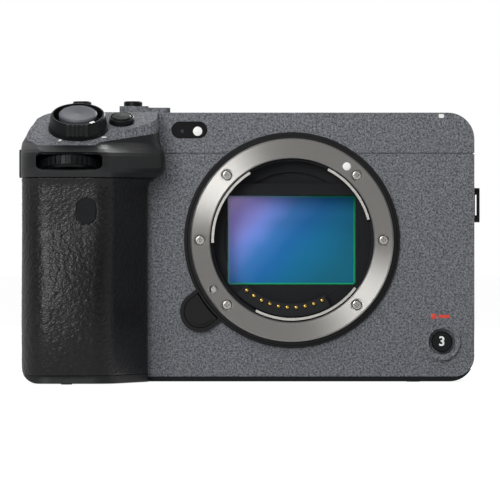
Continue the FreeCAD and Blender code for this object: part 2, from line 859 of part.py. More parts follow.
# Grip: one moulded form, lofted through outlines from the palm over the brow to the crown
def rounded_loop(points, radii, height):
    """A closed wire through points, with each corner rounded by its radius."""
    edges = []
    stops = []
    for i, (point, radius) in enumerate(zip(points, radii)):
        before = Vector(*points[i - 1], 0)
        here = Vector(*point, 0)
        after = Vector(*points[(i + 1) % len(points)], 0)
        arm_in = (before - here).normalize()
        arm_out = (after - here).normalize()
        if not radius:
            stops.append((here, None, here))
            continue
        half = arm_in.getAngle(arm_out) / 2
        reach = radius / math.tan(half)
        middle = here + (arm_in + arm_out).normalize() * (radius / math.sin(half) - radius)
        stops.append((here + arm_in * reach, middle, here + arm_out * reach))
    lift = Vector(0, 0, height)
    for i, (start, middle, end) in enumerate(stops):
        if middle:
            edges.append(Part.Arc(start + lift, middle + lift, end + lift).toShape())
        after = stops[(i + 1) % len(stops)][0]
        edges.append(Part.LineSegment(end + lift, after + lift).toShape())
    return Part.Wire(edges)


def ease(start, end, share):
    """From one set of values to another, gently at both ends."""
    share = share * share * (3 - 2 * share)
    return [a + (b - a) * share for a, b in zip(start, end)]


def bend_over(start, end, share):
    """From one set of values to another along a quarter turn."""
    share = 1 - math.cos(math.radians(90 * share))
    return [a + (b - a) * share for a, b in zip(start, end)]


def grip_form(inset):
    """The outside of the grip, drawn in by inset."""
    back = -s.body_front.now
    palm = [v.now for v in (s.grip_left, s.grip_front, s.grip_nose, s.grip_root, s.grip_flank)]
    brow = [v.now for v in (s.brow_left, s.brow_front, s.brow_nose, s.brow_root, s.brow_flank)]
    rim = [v.now for v in (s.rim_left, s.rim_front, s.rim_nose, s.rim_root, s.rim_flank)]
    crown = [v.now for v in (s.crown_left, s.crown_front, s.crown_nose, s.crown_root, s.crown_flank)]
    seam, waist = SEAM.now, WAIST.now
    low, middle = seam - s.brow_low_drop.now, seam - s.brow_drop.now
    edge, head = seam + s.rim_rise.now, TOP.now + 1.3
    shares = [i / 4 for i in range(1, 5)]
    sections = [(0, *palm), (waist, *palm)]
    sections += [(waist + (low - waist) * t, *ease(palm, brow, t)) for t in shares]
    sections += [(middle, *brow)]
    sections += [(middle + (edge - middle) * t, *bend_over(brow, rim, t)) for t in shares]
    sections += [(edge + (head - edge) * t, *ease(rim, crown, t)) for t in shares[1::2]]
    loops = []
    for height, west, south, tip, east, side in sections:
        points = [
            (-west + inset, back),
            (-west + inset, -south + inset),
            (-tip - inset * 0.6, -south + inset),
            (-east - inset, -side + inset * 0.6),
            (-east - inset, back),
        ]
        loops.append(rounded_loop(points, (0, 8.0 - inset, 7.0 - inset, 5.0, 0), height))
    return Part.makeLoft(loops, True, True)


def deck_slab(depth):
    """All that lies above the deck plane and the top plate, lowered by depth."""
    reach = 120.0
    slope = Part.makeBox(reach, reach, reach, Vector(-reach / 2, -reach / 2, 0))
    slope.rotate(Vector(0, 0, 0), Vector(1, 0, 0), s.deck_tilt.now)
    tilt = math.radians(s.deck_tilt.now)
    sink = Vector(0, math.sin(tilt) * depth, -math.cos(tilt) * depth)
    slope.translate(Vector(-s.ring_x.now, -s.deck_y.now, DECK_Z.now) + sink)
    roof = Part.makeBox(reach, reach, reach, Vector(-reach, s.lid_back.now - reach, TOP.now - depth))
    return slope.fuse(roof)


def shoulder_form():
    """The grip's share of the body's rounded left shoulder and heel."""
    radius = s.shoulder.now
    heel = s.grip_heel.now
    left = -s.body_left.now
    top = TOP.now
    centre = Vector(left + radius, 0, top - radius)
    low_centre = Vector(left + heel, 0, heel)
    low_bend = Part.Arc(
        Vector(left + heel, 0, 0),
        low_centre - Vector(heel, 0, heel) * math.sqrt(0.5),
        Vector(left, 0, heel),
    ).toShape()
    bend = Part.Arc(
        Vector(left, 0, top - radius),
        centre + Vector(-radius, 0, radius) * math.sqrt(0.5),
        Vector(left + radius, 0, top),
    ).toShape()
    corners = [Vector(left + radius, 0, top), Vector(0, 0, top), Vector(0, 0, 0), Vector(left + heel, 0, 0)]
    sides = [Part.LineSegment(a, b).toShape() for a, b in zip(corners, corners[1:])]
    edge = Part.LineSegment(Vector(left, 0, heel), Vector(left, 0, top - radius)).toShape()
    face = Part.Face(Part.Wire([bend, *sides, low_bend, edge]))
    form = face.extrude(Vector(0, 90, 0))
    form.translate(Vector(0, -70, 0))
    return form


def dial_room():
    """The space of the front dial in the grip, open to the front, with a bevelled lower lip."""
    slack = s.dial_slack.now
    tilt = s.dial_tilt.now
    radius = s.dial_radius.now + slack
    half = s.dial_thick.now / 2 + slack
    room = Part.makeCylinder(radius, 2 * half, Vector(0, 0, -half))
    mouth = Part.makeBox(2 * radius, 20, 2 * half, Vector(-radius, -20, -half))
    mouth = mouth.makeFillet(1.5, [e for e in mouth.Edges if abs(e.tangentAt(0).y) > 0.99])
    axle = Part.makeCylinder(
        s.axle_radius.now + s.shaft_slack.now, 2 * half + 2, Vector(0, 0, -half - 1))
    space = room.fuse([mouth, axle])
    space.rotate(Vector(0, 0, 0), Vector(1, 0, 0), -tilt)
    turn = math.radians(tilt)
    depth = s.dial_front.now - s.dial_radius.now * math.cos(turn)
    space.translate(Vector(-s.dial_x.now, -depth, DIAL_Z.now))
    bevel = s.lip_bevel.now
    lip = Part.makeBox(2 * radius - 3, bevel, bevel, Vector(-radius + 1.5, -bevel / 2, -bevel / 2))
    lip.rotate(Vector(0, 0, 0), Vector(1, 0, 0), 45)
    reach = s.brow_front.now - depth
    rise = reach * math.tan(turn) - half / math.cos(turn)
    lip.translate(Vector(-s.dial_x.now, -s.brow_front.now, DIAL_Z.now + rise))
    return space.fuse(lip)


def split_slab():
    """All that lies above the parting of the deck's flanks from the black head."""
    reach = 120.0
    slab = Part.makeBox(reach, reach, reach, Vector(-reach / 2, -reach / 2, 0))
    slab.rotate(Vector(0, 0, 0), Vector(1, 0, 0), s.split_tilt.now)
    slab.translate(Vector(-s.ring_x.now, -s.split_y.now, SEAM.now + s.split_rise.now))
    return slab


def tilted(shape, x, y):
    """Stand a shape on the deck at x, y."""
    tilt = s.deck_tilt.now
    rise = (-s.deck_y.now - y) * -math.tan(math.radians(tilt))
    shape.rotate(Vector(0, 0, 0), Vector(1, 0, 0), tilt)
    shape.translate(Vector(x, y, DECK_Z.now + rise))
    return shape


def deck_holes():
    """Bores in the deck for the shutter button's stem and the small button."""
    stem = Part.makeCylinder(s.stem_radius.now + 0.1, 14, Vector(0, 0, -4.5))
    well = Part.makeCylinder(s.deck_button_radius.now + 0.15, 14, Vector(0, 0, -2.4))
    return [
        tilted(stem, -s.ring_x.now, -s.deck_y.now),
        tilted(well, -s.deck_button_x.now, -s.deck_button_y.now),
    ]


def fixed_shape(label, shape):
    """A piece whose shape is worked out here."""
    thing = doc.addObject("Part::Feature", label)
    thing.Shape = shape
    thing.Label = label
    thing.Placement = Placement()
    return thing


def grip():
    outer = grip_form(0).common(shoulder_form())
    crown = outer.cut(deck_slab(0))
    band = Part.makeBox(60, 60, SKIN_TOP.now - s.skin_bottom.now,
                        Vector(-85, -70, s.skin_bottom.now))
    core = grip_form(s.skin_thick.now)
    skin = crown.common(band).cut(core)
    remote = remote_prism(0).common(crown)
    skin = skin.cut(remote_prism(0.05))
    deck_edge = grip_form(s.deck_rim.now).common(shoulder_form())
    deck_pocket = deck_edge.common(deck_slab(s.deck_thick.now)).fuse(outer.common(split_slab()))
    bay = Part.makeBox(
        s.battery_wide.now + 2 * s.gap.now, s.battery_front.now + s.gap.now,
        BATTERY_TOP.now + 1.4,
        Vector(-s.battery_left.now - s.gap.now, -s.battery_front.now - s.gap.now, -0.5))
    shell = crown.cut(band.cut(core)).cut([deck_pocket, bay, dial_room(), remote_prism(0.05), *deck_holes()])
    foot = Part.makeCylinder(1.6, 1.0, Vector(*grip_foot(), -0.5))
    shell = shell.cut(foot)
    keep(fixed_shape("grip_shell", largest(shell)))
    keep(fixed_shape("grip_skin", largest(skin)))
    keep(fixed_shape("remote_window", remote))
    tongue = grip_form(s.deck_rim.now + 0.1).common(shoulder_form())
    tongue = tongue.common(deck_slab(s.deck_thick.now)).fuse(outer.common(split_slab()))
    tongue = tongue.cut([deck_slab(0), dial_room(), *deck_holes()]).removeSplitter()
    cover = combine("MultiFuse", "top_cover", lid(), fixed_shape("deck", largest(tongue)))
    cover.Refine = True
    keep(cover)


def largest(shape):
    return max(shape.Solids, key=lambda solid: solid.Volume)


def grip_foot():
    return -62.6, -42.0


def remote_prism(slack):
    """A pill-shaped bar through the front of the grip covering."""
    radius = s.remote_wide.now / 2 + slack
    half = (s.remote_high.now - s.remote_wide.now) / 2
    depth = s.skin_thick.now + 0.35
    start = -s.grip_front.now - 1
    x, z = -s.remote_x.now, WAIST.now - s.remote_drop.now
    bars = [
        Part.makeCylinder(radius, depth + 1, Vector(x, start, z + side * half), Vector(0, 1, 0))
        for side in (-1, 1)
    ]
    middle = Part.makeBox(2 * radius, depth + 1, 2 * half, Vector(x - radius, start, z - half))
    return bars[0].fuse([bars[1], middle]).removeSplitter()


# Battery, its door and its latch
def battery():
    pack = Solid("battery")
    bottom = BATTERY_BOTTOM
    pack.pad("XY", bottom, BATTERY_TOP, rect(
        -s.battery_left, BATTERY_RIGHT, -s.battery_front, BATTERY_BACK, 2.0))
    pack.cut("XY", bottom - 1, bottom + 0.8, rect(
        -s.battery_left + 4, BATTERY_RIGHT - 4, -s.battery_front + 3, -s.battery_front + 8))
    pack.done()


def battery_door():
    door = Solid("battery_door")
    left = -s.battery_left
    right = BATTERY_RIGHT
    door.pad("XY", 0, BASE_TOP, rect(left, right, -s.battery_front, BATTERY_BACK, 1.5))
    door.cut("XY", -0.5, 0.7, pill(
        (left + right) / 2, -s.battery_front + 7, 12.0 + s.gap, 4.6 + s.gap))
    door.done()
    latch = Solid("battery_latch")
    latch.pad("XY", 0.05, 0.65, pill((left + right) / 2 - 1, -s.battery_front + 7, 10.0, 4.6))
    latch.cut("XY", -0.5, 0.3, rect(
        (left + right) / 2 - 3, (left + right) / 2 - 2.4, -s.battery_front + 5.8, -s.battery_front + 8.2))
    latch.row("X", 4, size(1.2))
    latch.done()


# Lens mount, drawn about its own axis and turned to face the front
FACING = dict(y=FRONT, z=MOUNT, angle=90)


def trim_ring():
    ring = Solid("mount_trim_ring")
    inner = s.mount_radius + 0.1
    x = s.release_circle * cosine(s.release_angle)
    y = s.release_circle * sine(s.release_angle)
    low = s.trim_proud - 0.8
    ring.pad("XY", 0, low, disc(x, y, s.surround_radius))
    ring.pad("XY", 0, low, outline(*release_neck(s.surround_radius)))
    ring.cut("XY", -1, low + 1, disc(x, y, s.release_radius + 0.2))
    ring.cut("XY", -1, low + 1, outline(*release_neck(s.release_radius + 0.2)))
    ring.cut("XY", -1, low + 1, disc(0, 0, inner))
    middle = s.trim_radius - s.trim_step
    ring.turn(outline((inner, 0), (s.trim_radius, 0), (s.trim_radius, low - 0.2), (s.trim_radius - 0.2, low),
                      (middle, low), (middle, s.trim_proud - 0.25), (middle - 0.25, s.trim_proud),
                      (inner, s.trim_proud)))
    ring.done(**FACING)


def mount_ring():
    ring = Solid("lens_mount_ring")
    top = s.flange_proud
    base = top - s.mount_thick
    ring.turn(outline(
        (s.throat_radius, base), (s.mount_radius, base), (s.mount_radius, top - 0.4),
        (s.mount_radius - 0.4, top), (s.throat_radius + 0.3, top), (s.throat_radius, top - 0.3)))
    heads = [disc(s.screw_circle * cosine(size(a)), s.screw_circle * sine(size(a)), s.screw_well)
             for a in screw_angles()]
    ring.cut("XY", top - s.screw_well_deep, top + 1, *heads)
    x = s.pin_circle * cosine(s.pin_angle)
    y = s.pin_circle * sine(s.pin_angle)
    ring.cut("XY", base - 1, top + 1, disc(x, y, s.pin_radius + s.pin_slack))
    ring.done(**FACING)


def screw_angles():
    return 0, 45, 135, 180, 225, 315


def mount_screws():
    heads = []
    for angle in screw_angles():
        x, z = lens_polar(s.screw_circle, angle)
        heads.append(rod("mount_screw", s.screw_head, s.screw_head_high,
                         x=x, y=FLANGE + s.screw_well_deep, z=z, angle=90))
    group("mount_screws", heads)


def band(label, inner, outer, front, length, start, sweep):
    """A curved bar round the lens axis, from an inner to an outer radius."""
    where = dict(y=front + length, z=MOUNT, angle=90)
    bars = []
    for name, radius in (("_outer", outer), ("_inner", inner)):
        bar = rod(label + name, radius, length, sweep, **where)
        turn = Rotation(Vector(0, 0, 1), start)
        bar.Placement = Placement(bar.Placement.Base, bar.Placement.Rotation * turn)
        bar.setExpression("Placement.Rotation.Angle", None)
        bars.append(bar)
    return combine("Cut", label, *bars)


def bayonet_springs():
    bars = [
        band("bayonet_spring", s.claw_radius - 0.35, s.claw_radius + 0.35, FLANGE + 1.0, s.claw_deep, start, sweep)
        for start, sweep in ((15, 48), (122, 60), (243, 80))
    ]
    group("bayonet_springs", bars)


def contacts():
    half = s.contact_step / 2
    front = FRONT + s.block_recess
    block_piece = band("lens_contact_block", s.block_inner, s.block_outer, front, s.block_deep,
                       SIZES["contact_first"] - SIZES["contact_step"] / 2,
                       (s.contact_count - 1) * s.contact_step + 2 * half)
    keep(block_piece)
    pins = []
    for i in range(SIZES["contact_count"]):
        x, z = lens_polar(s.contact_circle, s.contact_first + s.contact_step * i)
        pins.append(rod("contact_pin", s.contact_radius, s.contact_proud, x=x, y=front, z=z, angle=90))
    group("lens_contact_pins", pins)


def throat_baffle():
    baffle = Solid("throat_baffle")
    outer = s.throat_radius - 0.1
    back = -s.baffle_deep
    front = s.flange_proud - s.mount_thick
    level = back + s.baffle_plate
    ledge = level + s.ledge_high
    baffle.turn(outline(
        (0, back), (outer, back), (outer, front), (outer - s.baffle_wall, front),
        (outer - s.baffle_wall, ledge), (s.ledge_radius, ledge), (s.ledge_radius, level), (0, level)))
    wide = s.window_wide / 2 + s.baffle_margin
    high = s.window_high / 2 + s.baffle_margin
    baffle.cut("XY", back - 1, 1, rect(-wide, wide, -high, high, 0.8))
    foot = high + 0.1
    brim = high + s.hood_high
    baffle.pad("XY", level - 0.3, level + s.hood_deep, outline(
        (-wide + 0.2, foot), (wide - 0.2, foot), (wide - 2.6, brim), (-wide + 2.6, brim)))
    baffle.done(**FACING)


def lens_release():
    button = Solid("lens_release_button")
    x = s.release_circle * cosine(s.release_angle)
    y = s.release_circle * sine(s.release_angle)
    top = s.release_proud
    low = top - s.release_length
    rim = top - s.pad_step
    for height, radius in ((rim, s.release_radius), (top, s.release_radius - s.pad_inset)):
        button.pad("XY", low, height, disc(x, y, radius))
        button.pad("XY", low, height, outline(*release_neck(radius)))
    clear = s.trim_radius + 0.25
    button.cut("XY", low - 1, top + 1, disc(0, 0, clear))
    button.cut("XY", rim, top + 1, disc(0, 0, clear + s.pad_inset))
    button.done(**FACING)
    pin = Solid("mount_lock_pin")
    back = -s.wall - s.chassis_thick + s.release_travel + 0.3
    tip = s.flange_proud + s.pin_proud
    pin.turn(outline((0, back), (s.pin_radius, back), (s.pin_radius, tip - 0.35),
                     (s.pin_radius - 0.35, tip), (0, tip)))
    pin.done(x=PIN_X, y=FRONT, z=PIN_Z, angle=90)


# Chassis behind the front shell: plate, mount seat, one leg and a floor
def chassis():
    frame = Solid("chassis")
    frame.pad("XZ", CHASSIS_FRONT, CHASSIS_BACK, rect(-48, 46, BASE_TOP + 2.6, SEAM - 1, 3.0))
    seat = FRONT - s.flange_proud + s.mount_thick
    frame.pad("XZ", seat, CHASSIS_FRONT, disc(0, MOUNT, s.mount_radius))
    frame.pad("XY", BASE_TOP + 2.6, BASE_TOP + 4.6, rect(-46, 40, CHASSIS_BACK, FAN_BACK - 3))
    frame.pad("XZ", CHASSIS_BACK, BOARD_FRONT, rect(-48, -45, BASE_TOP + 4, SEAM - 2))
    frame.cut("XZ", FRONT - 4, CHASSIS_BACK + 1, disc(0, MOUNT, s.throat_radius))
    release_cut(frame, FRONT - 4, CHASSIS_BACK + 1, 0.4)
    frame.cut("XZ", FRONT - 4, CHASSIS_BACK + 1, disc(PIN_X, PIN_Z, s.pin_radius + s.pin_slack))
    frame.cut("XZ", FRONT, CHASSIS_BACK + 1, disc(s.record_x, s.record_z, s.record_collar))
    frame.done()


# Focal-plane shutter: frame with its slot, and the curtain's blades
def shutter():
    frame = Solid("shutter_frame")
    wide = s.window_wide / 2 + s.frame_margin
    high = s.window_high / 2 + s.frame_margin
    frame.pad("XZ", SHUTTER_FRONT, SHUTTER_BACK, rect(
        -wide - 12, wide + 12, MOUNT - high - s.blade_high - 3, MOUNT + high + 6, 2.0))
    frame.cut("XZ", SHUTTER_FRONT - 1, SHUTTER_BACK + 1, rect(-wide, wide, MOUNT - high, MOUNT + high))
    slot_low = MOUNT - high - s.blade_high - 0.9
    slot_deep = s.blade_pitch * s.blade_count + 0.5
    frame.cut("XZ", SHUTTER_FRONT + 0.7, SHUTTER_FRONT + 0.7 + slot_deep, rect(
        -wide - 9, wide + 9, slot_low, MOUNT + high + 0.9))
    frame.done()
    for number in range(SIZES["blade_count"]):
        front = SHUTTER_FRONT + 0.9 + s.blade_pitch * number
        blade = Solid("curtain_blade_%d" % (number + 1))
        blade.pad("XZ", front, front + s.blade_thick, rect(
            -wide - 8.5, wide + 8.5, slot_low + 0.3, slot_low + 0.3 + s.blade_high))
        blade.done()


# Sensor on its two stabiliser stages
def sensor():
    chip = Solid("image_sensor")
    wide = s.window_wide / 2
    high = s.window_high / 2
    front = SENSOR_FRONT + s.glass_step
    chip.pad("XZ", front, PACKAGE_BACK, rect(
        -wide - s.package_margin, wide + s.package_margin,
        MOUNT - high - s.package_margin, MOUNT + high + s.package_margin, 1.0))
    chip.pad("XZ", SENSOR_FRONT, front, rect(-wide, wide, MOUNT - high, MOUNT + high, 0.8))
    chip.done()
    half_wide = s.stage_wide / 2
    half_high = s.stage_high / 2
    carriage = Solid("sensor_carriage")
    carriage.pad("XZ", PACKAGE_BACK, CARRIAGE_BACK, rect(
        -half_wide + 2, half_wide - 2, MOUNT - half_high + 1, MOUNT + half_high - 1, 4.0))
    for x in (-half_wide + 4.6, half_wide - 4.6):
        carriage.pad("XZ", PACKAGE_BACK - 1.2, PACKAGE_BACK, pill(x, MOUNT, 5, 16))
    carriage.done()
    stage = Solid("sensor_stage")
    stage.pad("XZ", STAGE_FRONT, STAGE_BACK, rect(
        -half_wide, half_wide, MOUNT - half_high, MOUNT + half_high, 3.0))
    stage.cut("XZ", STAGE_FRONT - 1, STAGE_BACK + 1, rect(-15, 15, MOUNT - 11, MOUNT + 11, 2.0))
    stage.done()


def cooling():
    sink = Solid("heat_sink")
    left = -28
    sink.pad("XZ", SINK_FRONT, SINK_FRONT + s.sink_plate, rect(-30, 39, 14, SEAM - 1, 2.0))
    sink.pad("XZ", SINK_FRONT + s.sink_plate, SINK_BACK, rect(left, left + s.fin_thick, 16, SEAM - 3))
    sink.row("X", s.fin_count, s.fin_pitch)
    sink.done()
    board = Solid("main_board")
    board.pad("XZ", BOARD_FRONT, BOARD_BACK, rect(-44, 39, BASE_TOP + 5, SEAM - 1, 1.0))
    board.pad("XZ", BOARD_BACK, BOARD_BACK + 1.0,
              rect(-20, -6, 34, 48), rect(-38, -26, 14, 26), rect(-38, -28, 40, 56), rect(-16, -4, 14, 26))
    board.done()


def fan():
    housing = Solid("fan_housing")
    x, z = s.fan_x, s.fan_z
    wall = s.fan_radius + s.fan_wall
    outlet = INNER_RIGHT - 1.5
    housing.pad("XZ", FAN_FRONT, FAN_BACK, rect(x - wall, outlet, z - wall, z + wall, 2.0))
    housing.cut("XZ", FAN_FRONT + 1, FAN_BACK + 1, disc(x, z, s.fan_radius + 0.8))
    housing.cut("YZ", x, outlet + 1, rect(FAN_FRONT + 1, FAN_BACK - 1, z + 1, z + wall - 1.2))
    housing.pad("XZ", FAN_FRONT, FAN_BACK - 1, disc(x, z, s.shaft_radius))
    housing.done()
    rotor = Solid("fan_rotor")
    low = 1.0 + s.gap
    high = s.fan_deep - 1
    rotor.pad("XY", low, high, disc(0, 0, s.hub_radius))
    rotor.pad("XY", low, high - 0.6, outline(
        (s.hub_radius - 1, -0.4), (s.fan_radius, 1.2), (s.fan_radius, 2.0), (s.hub_radius - 1, 0.4)))
    rotor.repeat(s.fan_blades)
    rotor.cut("XY", low - 1, high + 1, disc(0, 0, s.shaft_radius + s.shaft_slack))
    rotor.done(x=x, y=FAN_FRONT, z=z, angle=-90)


# Knurled wheels, each on a short axle of its own
def knurled_wheel(label, **where):
    wheel = Solid(label)
    half = s.dial_thick / 2
    wheel.turn(outline(
        (0, -half), (s.dial_radius - 1.1, -half), (s.dial_radius - 0.5, -half + 0.6),
        (s.dial_radius - 0.5, half - 0.6), (s.dial_radius - 1.1, half), (0, half)))
    wheel.pad("XY", -half + 0.6, half - 0.6, rect(-0.55, 0.55, s.dial_radius - 1.6, s.dial_radius))
    wheel.repeat(s.dial_ribs)
    wheel.pad("XY", -half - 1.2, half + 1.2, disc(0, 0, s.axle_radius))
    wheel.done(**where)


def dials():
    knurled_wheel("front_dial", x=-s.dial_x, y=-s.dial_front + s.dial_radius * cosine(s.dial_tilt),
                  z=DIAL_Z, angle=-s.dial_tilt)
    knurled_wheel("rear_dial", x=-s.rear_dial_x, y=BACK + s.rear_dial_proud - s.dial_radius,
                  z=REAR_DIAL_Z + s.dial_thick / 2)


# Ring lever and buttons of the sloped deck, drawn upright and tilted with it
def deck_height(y):
    slope = sine(s.deck_tilt) / cosine(s.deck_tilt)
    return DECK_Z + (y + s.deck_y) * slope


def deck_controls():
    on_ring = dict(x=-s.ring_x, y=-s.deck_y, z=DECK_Z, angle=s.deck_tilt)
    ring = Solid("power_ring")
    top = s.ring_high
    ring.turn(outline(
        (s.ring_bore, 0.1), (s.ring_base, 0.1), (s.ring_base, s.ring_skirt),
        (s.ring_base - 0.25, s.ring_skirt), (s.ring_top + 0.35, top - 0.4), (s.ring_top, top),
        (s.ring_top - 0.35, top), (s.ring_top - 0.8, top - s.ring_well), (s.ring_bore, top - s.ring_well)))
    tab = s.ring_base + 0.25
    root = s.ring_top - 0.6
    ring.pad("YZ", -3.0, 3.0, outline(
        (-root, s.ring_skirt), (-tab, s.ring_skirt), (-tab, s.ring_skirt + 0.6),
        (-s.ring_top - 0.05, top), (-root, top)))
    for x in (-1.8, -0.6, 0.6, 1.8):
        ring.cut("YZ", x - 0.28, x + 0.28, outline(
            (-tab - 1, 0.5), (-tab + 0.5, 0.5), (-tab + 0.5, s.ring_skirt + 0.6),
            (-s.ring_top + 0.4, top + 0.1), (-tab - 1, top + 0.1)))
    ring.done(**on_ring)
    cap = s.ring_high + s.shutter_proud
    button = Solid("shutter_button")
    button.turn(outline(
        (0, -3.2), (s.stem_radius, -3.2), (s.stem_radius, cap - s.shutter_cap),
        (s.shutter_radius, cap - s.shutter_cap), (s.shutter_radius, cap - 0.35),
        (s.shutter_radius - 0.35, cap), (s.shutter_radius - 1.0, cap), (0, cap - 0.3)))
    button.done(**on_ring)
    small = Solid("deck_button")
    high = s.deck_button_high
    radius = s.deck_button_radius
    cap = radius - 0.75
    small.turn(outline(
        (0, -1.4), (radius, -1.4), (radius, high - 0.25), (radius - 0.25, high), (radius - 0.45, high),
        (radius - 0.6, high - 0.7), (cap, high - 0.7), (cap, high), (cap - 0.35, high + 0.3), (0, high + 0.4)))
    small.done(x=-s.deck_button_x, y=-s.deck_button_y, z=deck_height(-s.deck_button_y), angle=s.deck_tilt)


def top_buttons():
    level = TOP + s.plinth_high
    for label, x in (("top_button", s.top_button_x), ("far_button", s.far_button_x)):
        button = Solid(label)
        radius = s.top_button_radius
        button.turn(outline(
            (0, -3.0), (radius - 1.1, -3.0), (radius - 1.1, -1.0), (radius, -1.0),
            (radius, s.top_button_high - 0.3), (radius - 0.3, s.top_button_high), (0, s.top_button_high)))
        button.done(x=-x, y=s.top_button_y, z=level)


def record_button():
    button = Solid("record_button")
    radius = s.record_radius
    proud = s.record_collar_proud - 0.1
    floor = -1.2 + s.button_travel + 0.1
    button.turn(outline(
        (0, -3.4), (1.2, -3.4), (1.2, floor), (radius, floor), (radius, proud - 0.3),
        (radius - 0.3, proud), (0, proud)))
    button.done(x=s.record_x, y=FRONT, z=s.record_z, angle=90)


# Windows, lugs, bushes, feet and screws
def small_fittings():
    window = Solid("tally_window")
    window.pad("XZ", FRONT - 0.05, FRONT + s.tally_deep, pill(
        -s.tally_x, TALLY_Z, s.tally_wide - 0.2, s.tally_high - 0.2))
    window.done()
    right = Solid("lug_right")
    near = FRONT + s.right_lug
    right.pad("YZ", RIGHT, RIGHT + s.lug_proud, rect(near, near + s.lug_wide, s.lug_bottom, s.lug_top, 1.5))
    right.cut("XZ", near - 1, near + s.lug_wide + 1,
              rect(RIGHT + 0.3, RIGHT + 0.9, s.lug_bottom + 2, s.lug_top - 2))
    left = Solid("lug_left")
    near = FRONT + s.left_lug
    left.pad("YZ", LEFT - s.lug_proud, LEFT, rect(near, near + s.lug_wide, SEAM - 7, SEAM + 1, 1.5))
    left.cut("XZ", near - 1, near + s.lug_wide + 1, rect(LEFT - 0.9, LEFT - 0.3, SEAM - 5.5, SEAM - 0.5))
    group("strap_lugs", [right.body, left.body])
    bushes = []
    for x, y in top_bushes():
        bush = Solid("top_bush")
        bush.turn(outline((s.socket_radius, -s.socket_length), (s.bush_radius - 0.02, -s.socket_length),
                          (s.bush_radius - 0.02, 0), (s.socket_radius, 0)))
        bushes.append(place(bush.body, x, y, TOP))
    bush = Solid("side_bush")
    bush.turn(outline((s.socket_radius, -s.socket_length), (s.bush_radius - 0.02, -s.socket_length),
                      (s.bush_radius - 0.02, 0), (s.socket_radius, 0)))
    bushes.append(place(bush.body, RIGHT, s.side_bush_y, SIDE_BUSH_Z, (0, 1, 0), 90))
    tripod = Solid("tripod_bush")
    tripod.turn(outline(
        (s.socket_radius, 0), (s.bush_radius - 0.02, 0), (s.bush_radius - 0.02, BASE_TOP),
        (s.bush_radius + 2, BASE_TOP), (s.bush_radius + 2, BASE_TOP + 1.2),
        (s.bush_radius, BASE_TOP + 1.2), (s.bush_radius, BASE_TOP + 2.5),
        (s.socket_radius, BASE_TOP + 2.5)))
    group("threaded_bushes", [*bushes, tripod.body])
    feet = []
    for x, y in rear_feet():
        feet.append(rod("foot", 1.95, 0.75, x=x, y=y, z=-0.25))
    x, y = grip_foot()
    feet.append(rod("foot", 1.55, 0.75, x=x, y=y, z=-0.25))
    group("base_feet", feet)
    screws = [rod("case_screw", 1.45, 0.75, x=x, y=y, z=0.1) for x, y in base_screws()]
    group("case_screws", screws)


def accessory_shoe():
    shoe = Solid("accessory_shoe")
    half = s.shoe_wide / 2 - 0.05
    front = -s.shoe_front + 0.05
    back = s.lid_back - 1
    floor = TOP - s.shoe_recess
    roof = floor + s.shoe_sheet + s.shoe_slot_high + s.shoe_sheet
    shoe.pad("XZ", front, back, rect(-half, half, floor, roof))
    shoe.cut("XZ", front + 1.5, back + 1, rect(
        -s.shoe_slot / 2, s.shoe_slot / 2, floor + s.shoe_sheet, roof - s.shoe_sheet))
    shoe.cut("XZ", front + 1.5, back + 1, rect(-s.shoe_mouth / 2, s.shoe_mouth / 2, roof - s.shoe_sheet - 0.5, roof + 1))
    shoe.done()


# Sockets and side doors
def right_side():
    ports = Solid("socket_block")
    left = INNER_RIGHT - 7
    ports.pad("XZ", -s.port_front - 0.7, s.port_back + 0.7,
              rect(left, INNER_RIGHT, s.data_bottom - 1, AUDIO_TOP + 1))
    middle = (s.port_back - s.port_front) / 2
    ports.cut("YZ", INNER_RIGHT - 5, INNER_RIGHT + 1,
              rect(middle - 2, middle + 2, s.data_bottom + 5, s.data_top - 5, 0.8),
              rect(middle - 1.6, middle + 1.6, s.audio_bottom + 3, s.audio_bottom + 12, 1.5))
    for drop in (9.5, 3.8):
        ports.cut("YZ", INNER_RIGHT - 5, INNER_RIGHT + 1, disc(middle, AUDIO_TOP - drop, s.jack_radius))
    ports.done()
    clear = s.door_gap
    for label, (bottom, top) in zip(("data_door", "audio_door"), port_openings()):
        door = Solid(label)
        door.pad("YZ", RIGHT - s.door_thick, RIGHT, rect(
            -s.port_front + clear, s.port_back - clear, bottom + clear, top - clear, 1.5 - clear))
        door.cut("YZ", RIGHT - 0.5, RIGHT + 1, pill(s.port_back - 2.2, bottom + 4.5, 1.6, 5.0))
        door.done()
    grille = Solid("side_grille")
    grille.pad("YZ", RIGHT - 1.4, RIGHT - 0.2, rect(
        s.grille_front + 0.05, s.grille_back - 0.05, s.grille_bottom + 0.05, GRILLE_TOP - 0.05, 0.95))
    grille.cut("YZ", RIGHT - 2, RIGHT + 1, rect(
        s.grille_front + 1.2, s.grille_back - 1.2, s.grille_bottom + 1.8, s.grille_bottom + 4.0))
    grille.row("Z", s.grille_slots, (GRILLE_TOP - s.grille_bottom - 3.6 - 2.2) / (s.grille_slots - 1))
    grille.done()


def left_side():
    clear = s.door_gap
    door = Solid("card_door")
    door.pad("YZ", LEFT, LEFT + s.door_thick, rect(
        s.card_front + clear, s.card_back - clear, s.card_bottom + clear, s.card_top - clear, 1.5 - clear))
    door.cut("YZ", LEFT - 1, LEFT + 0.5, pill(s.card_front + 2.4, 34, 1.6, 10))
    door.done()
    reader = Solid("card_reader")
    reader.pad("XZ", s.card_front, s.card_back - 0.5, rect(INNER_LEFT, INNER_LEFT + 17, s.card_bottom + 1, s.card_top - 1))
    middle = (s.card_bottom + s.card_top) / 2
    shapes = [rect(y - s.card_slot_thick / 2, y + s.card_slot_thick / 2,
                   middle - s.card_slot_wide / 2, middle + s.card_slot_wide / 2)
              for y in (s.card_front + 3.0, s.card_front + 8.0)]
    reader.cut("YZ", INNER_LEFT - 1, INNER_LEFT + 14, *shapes)
    reader.done()


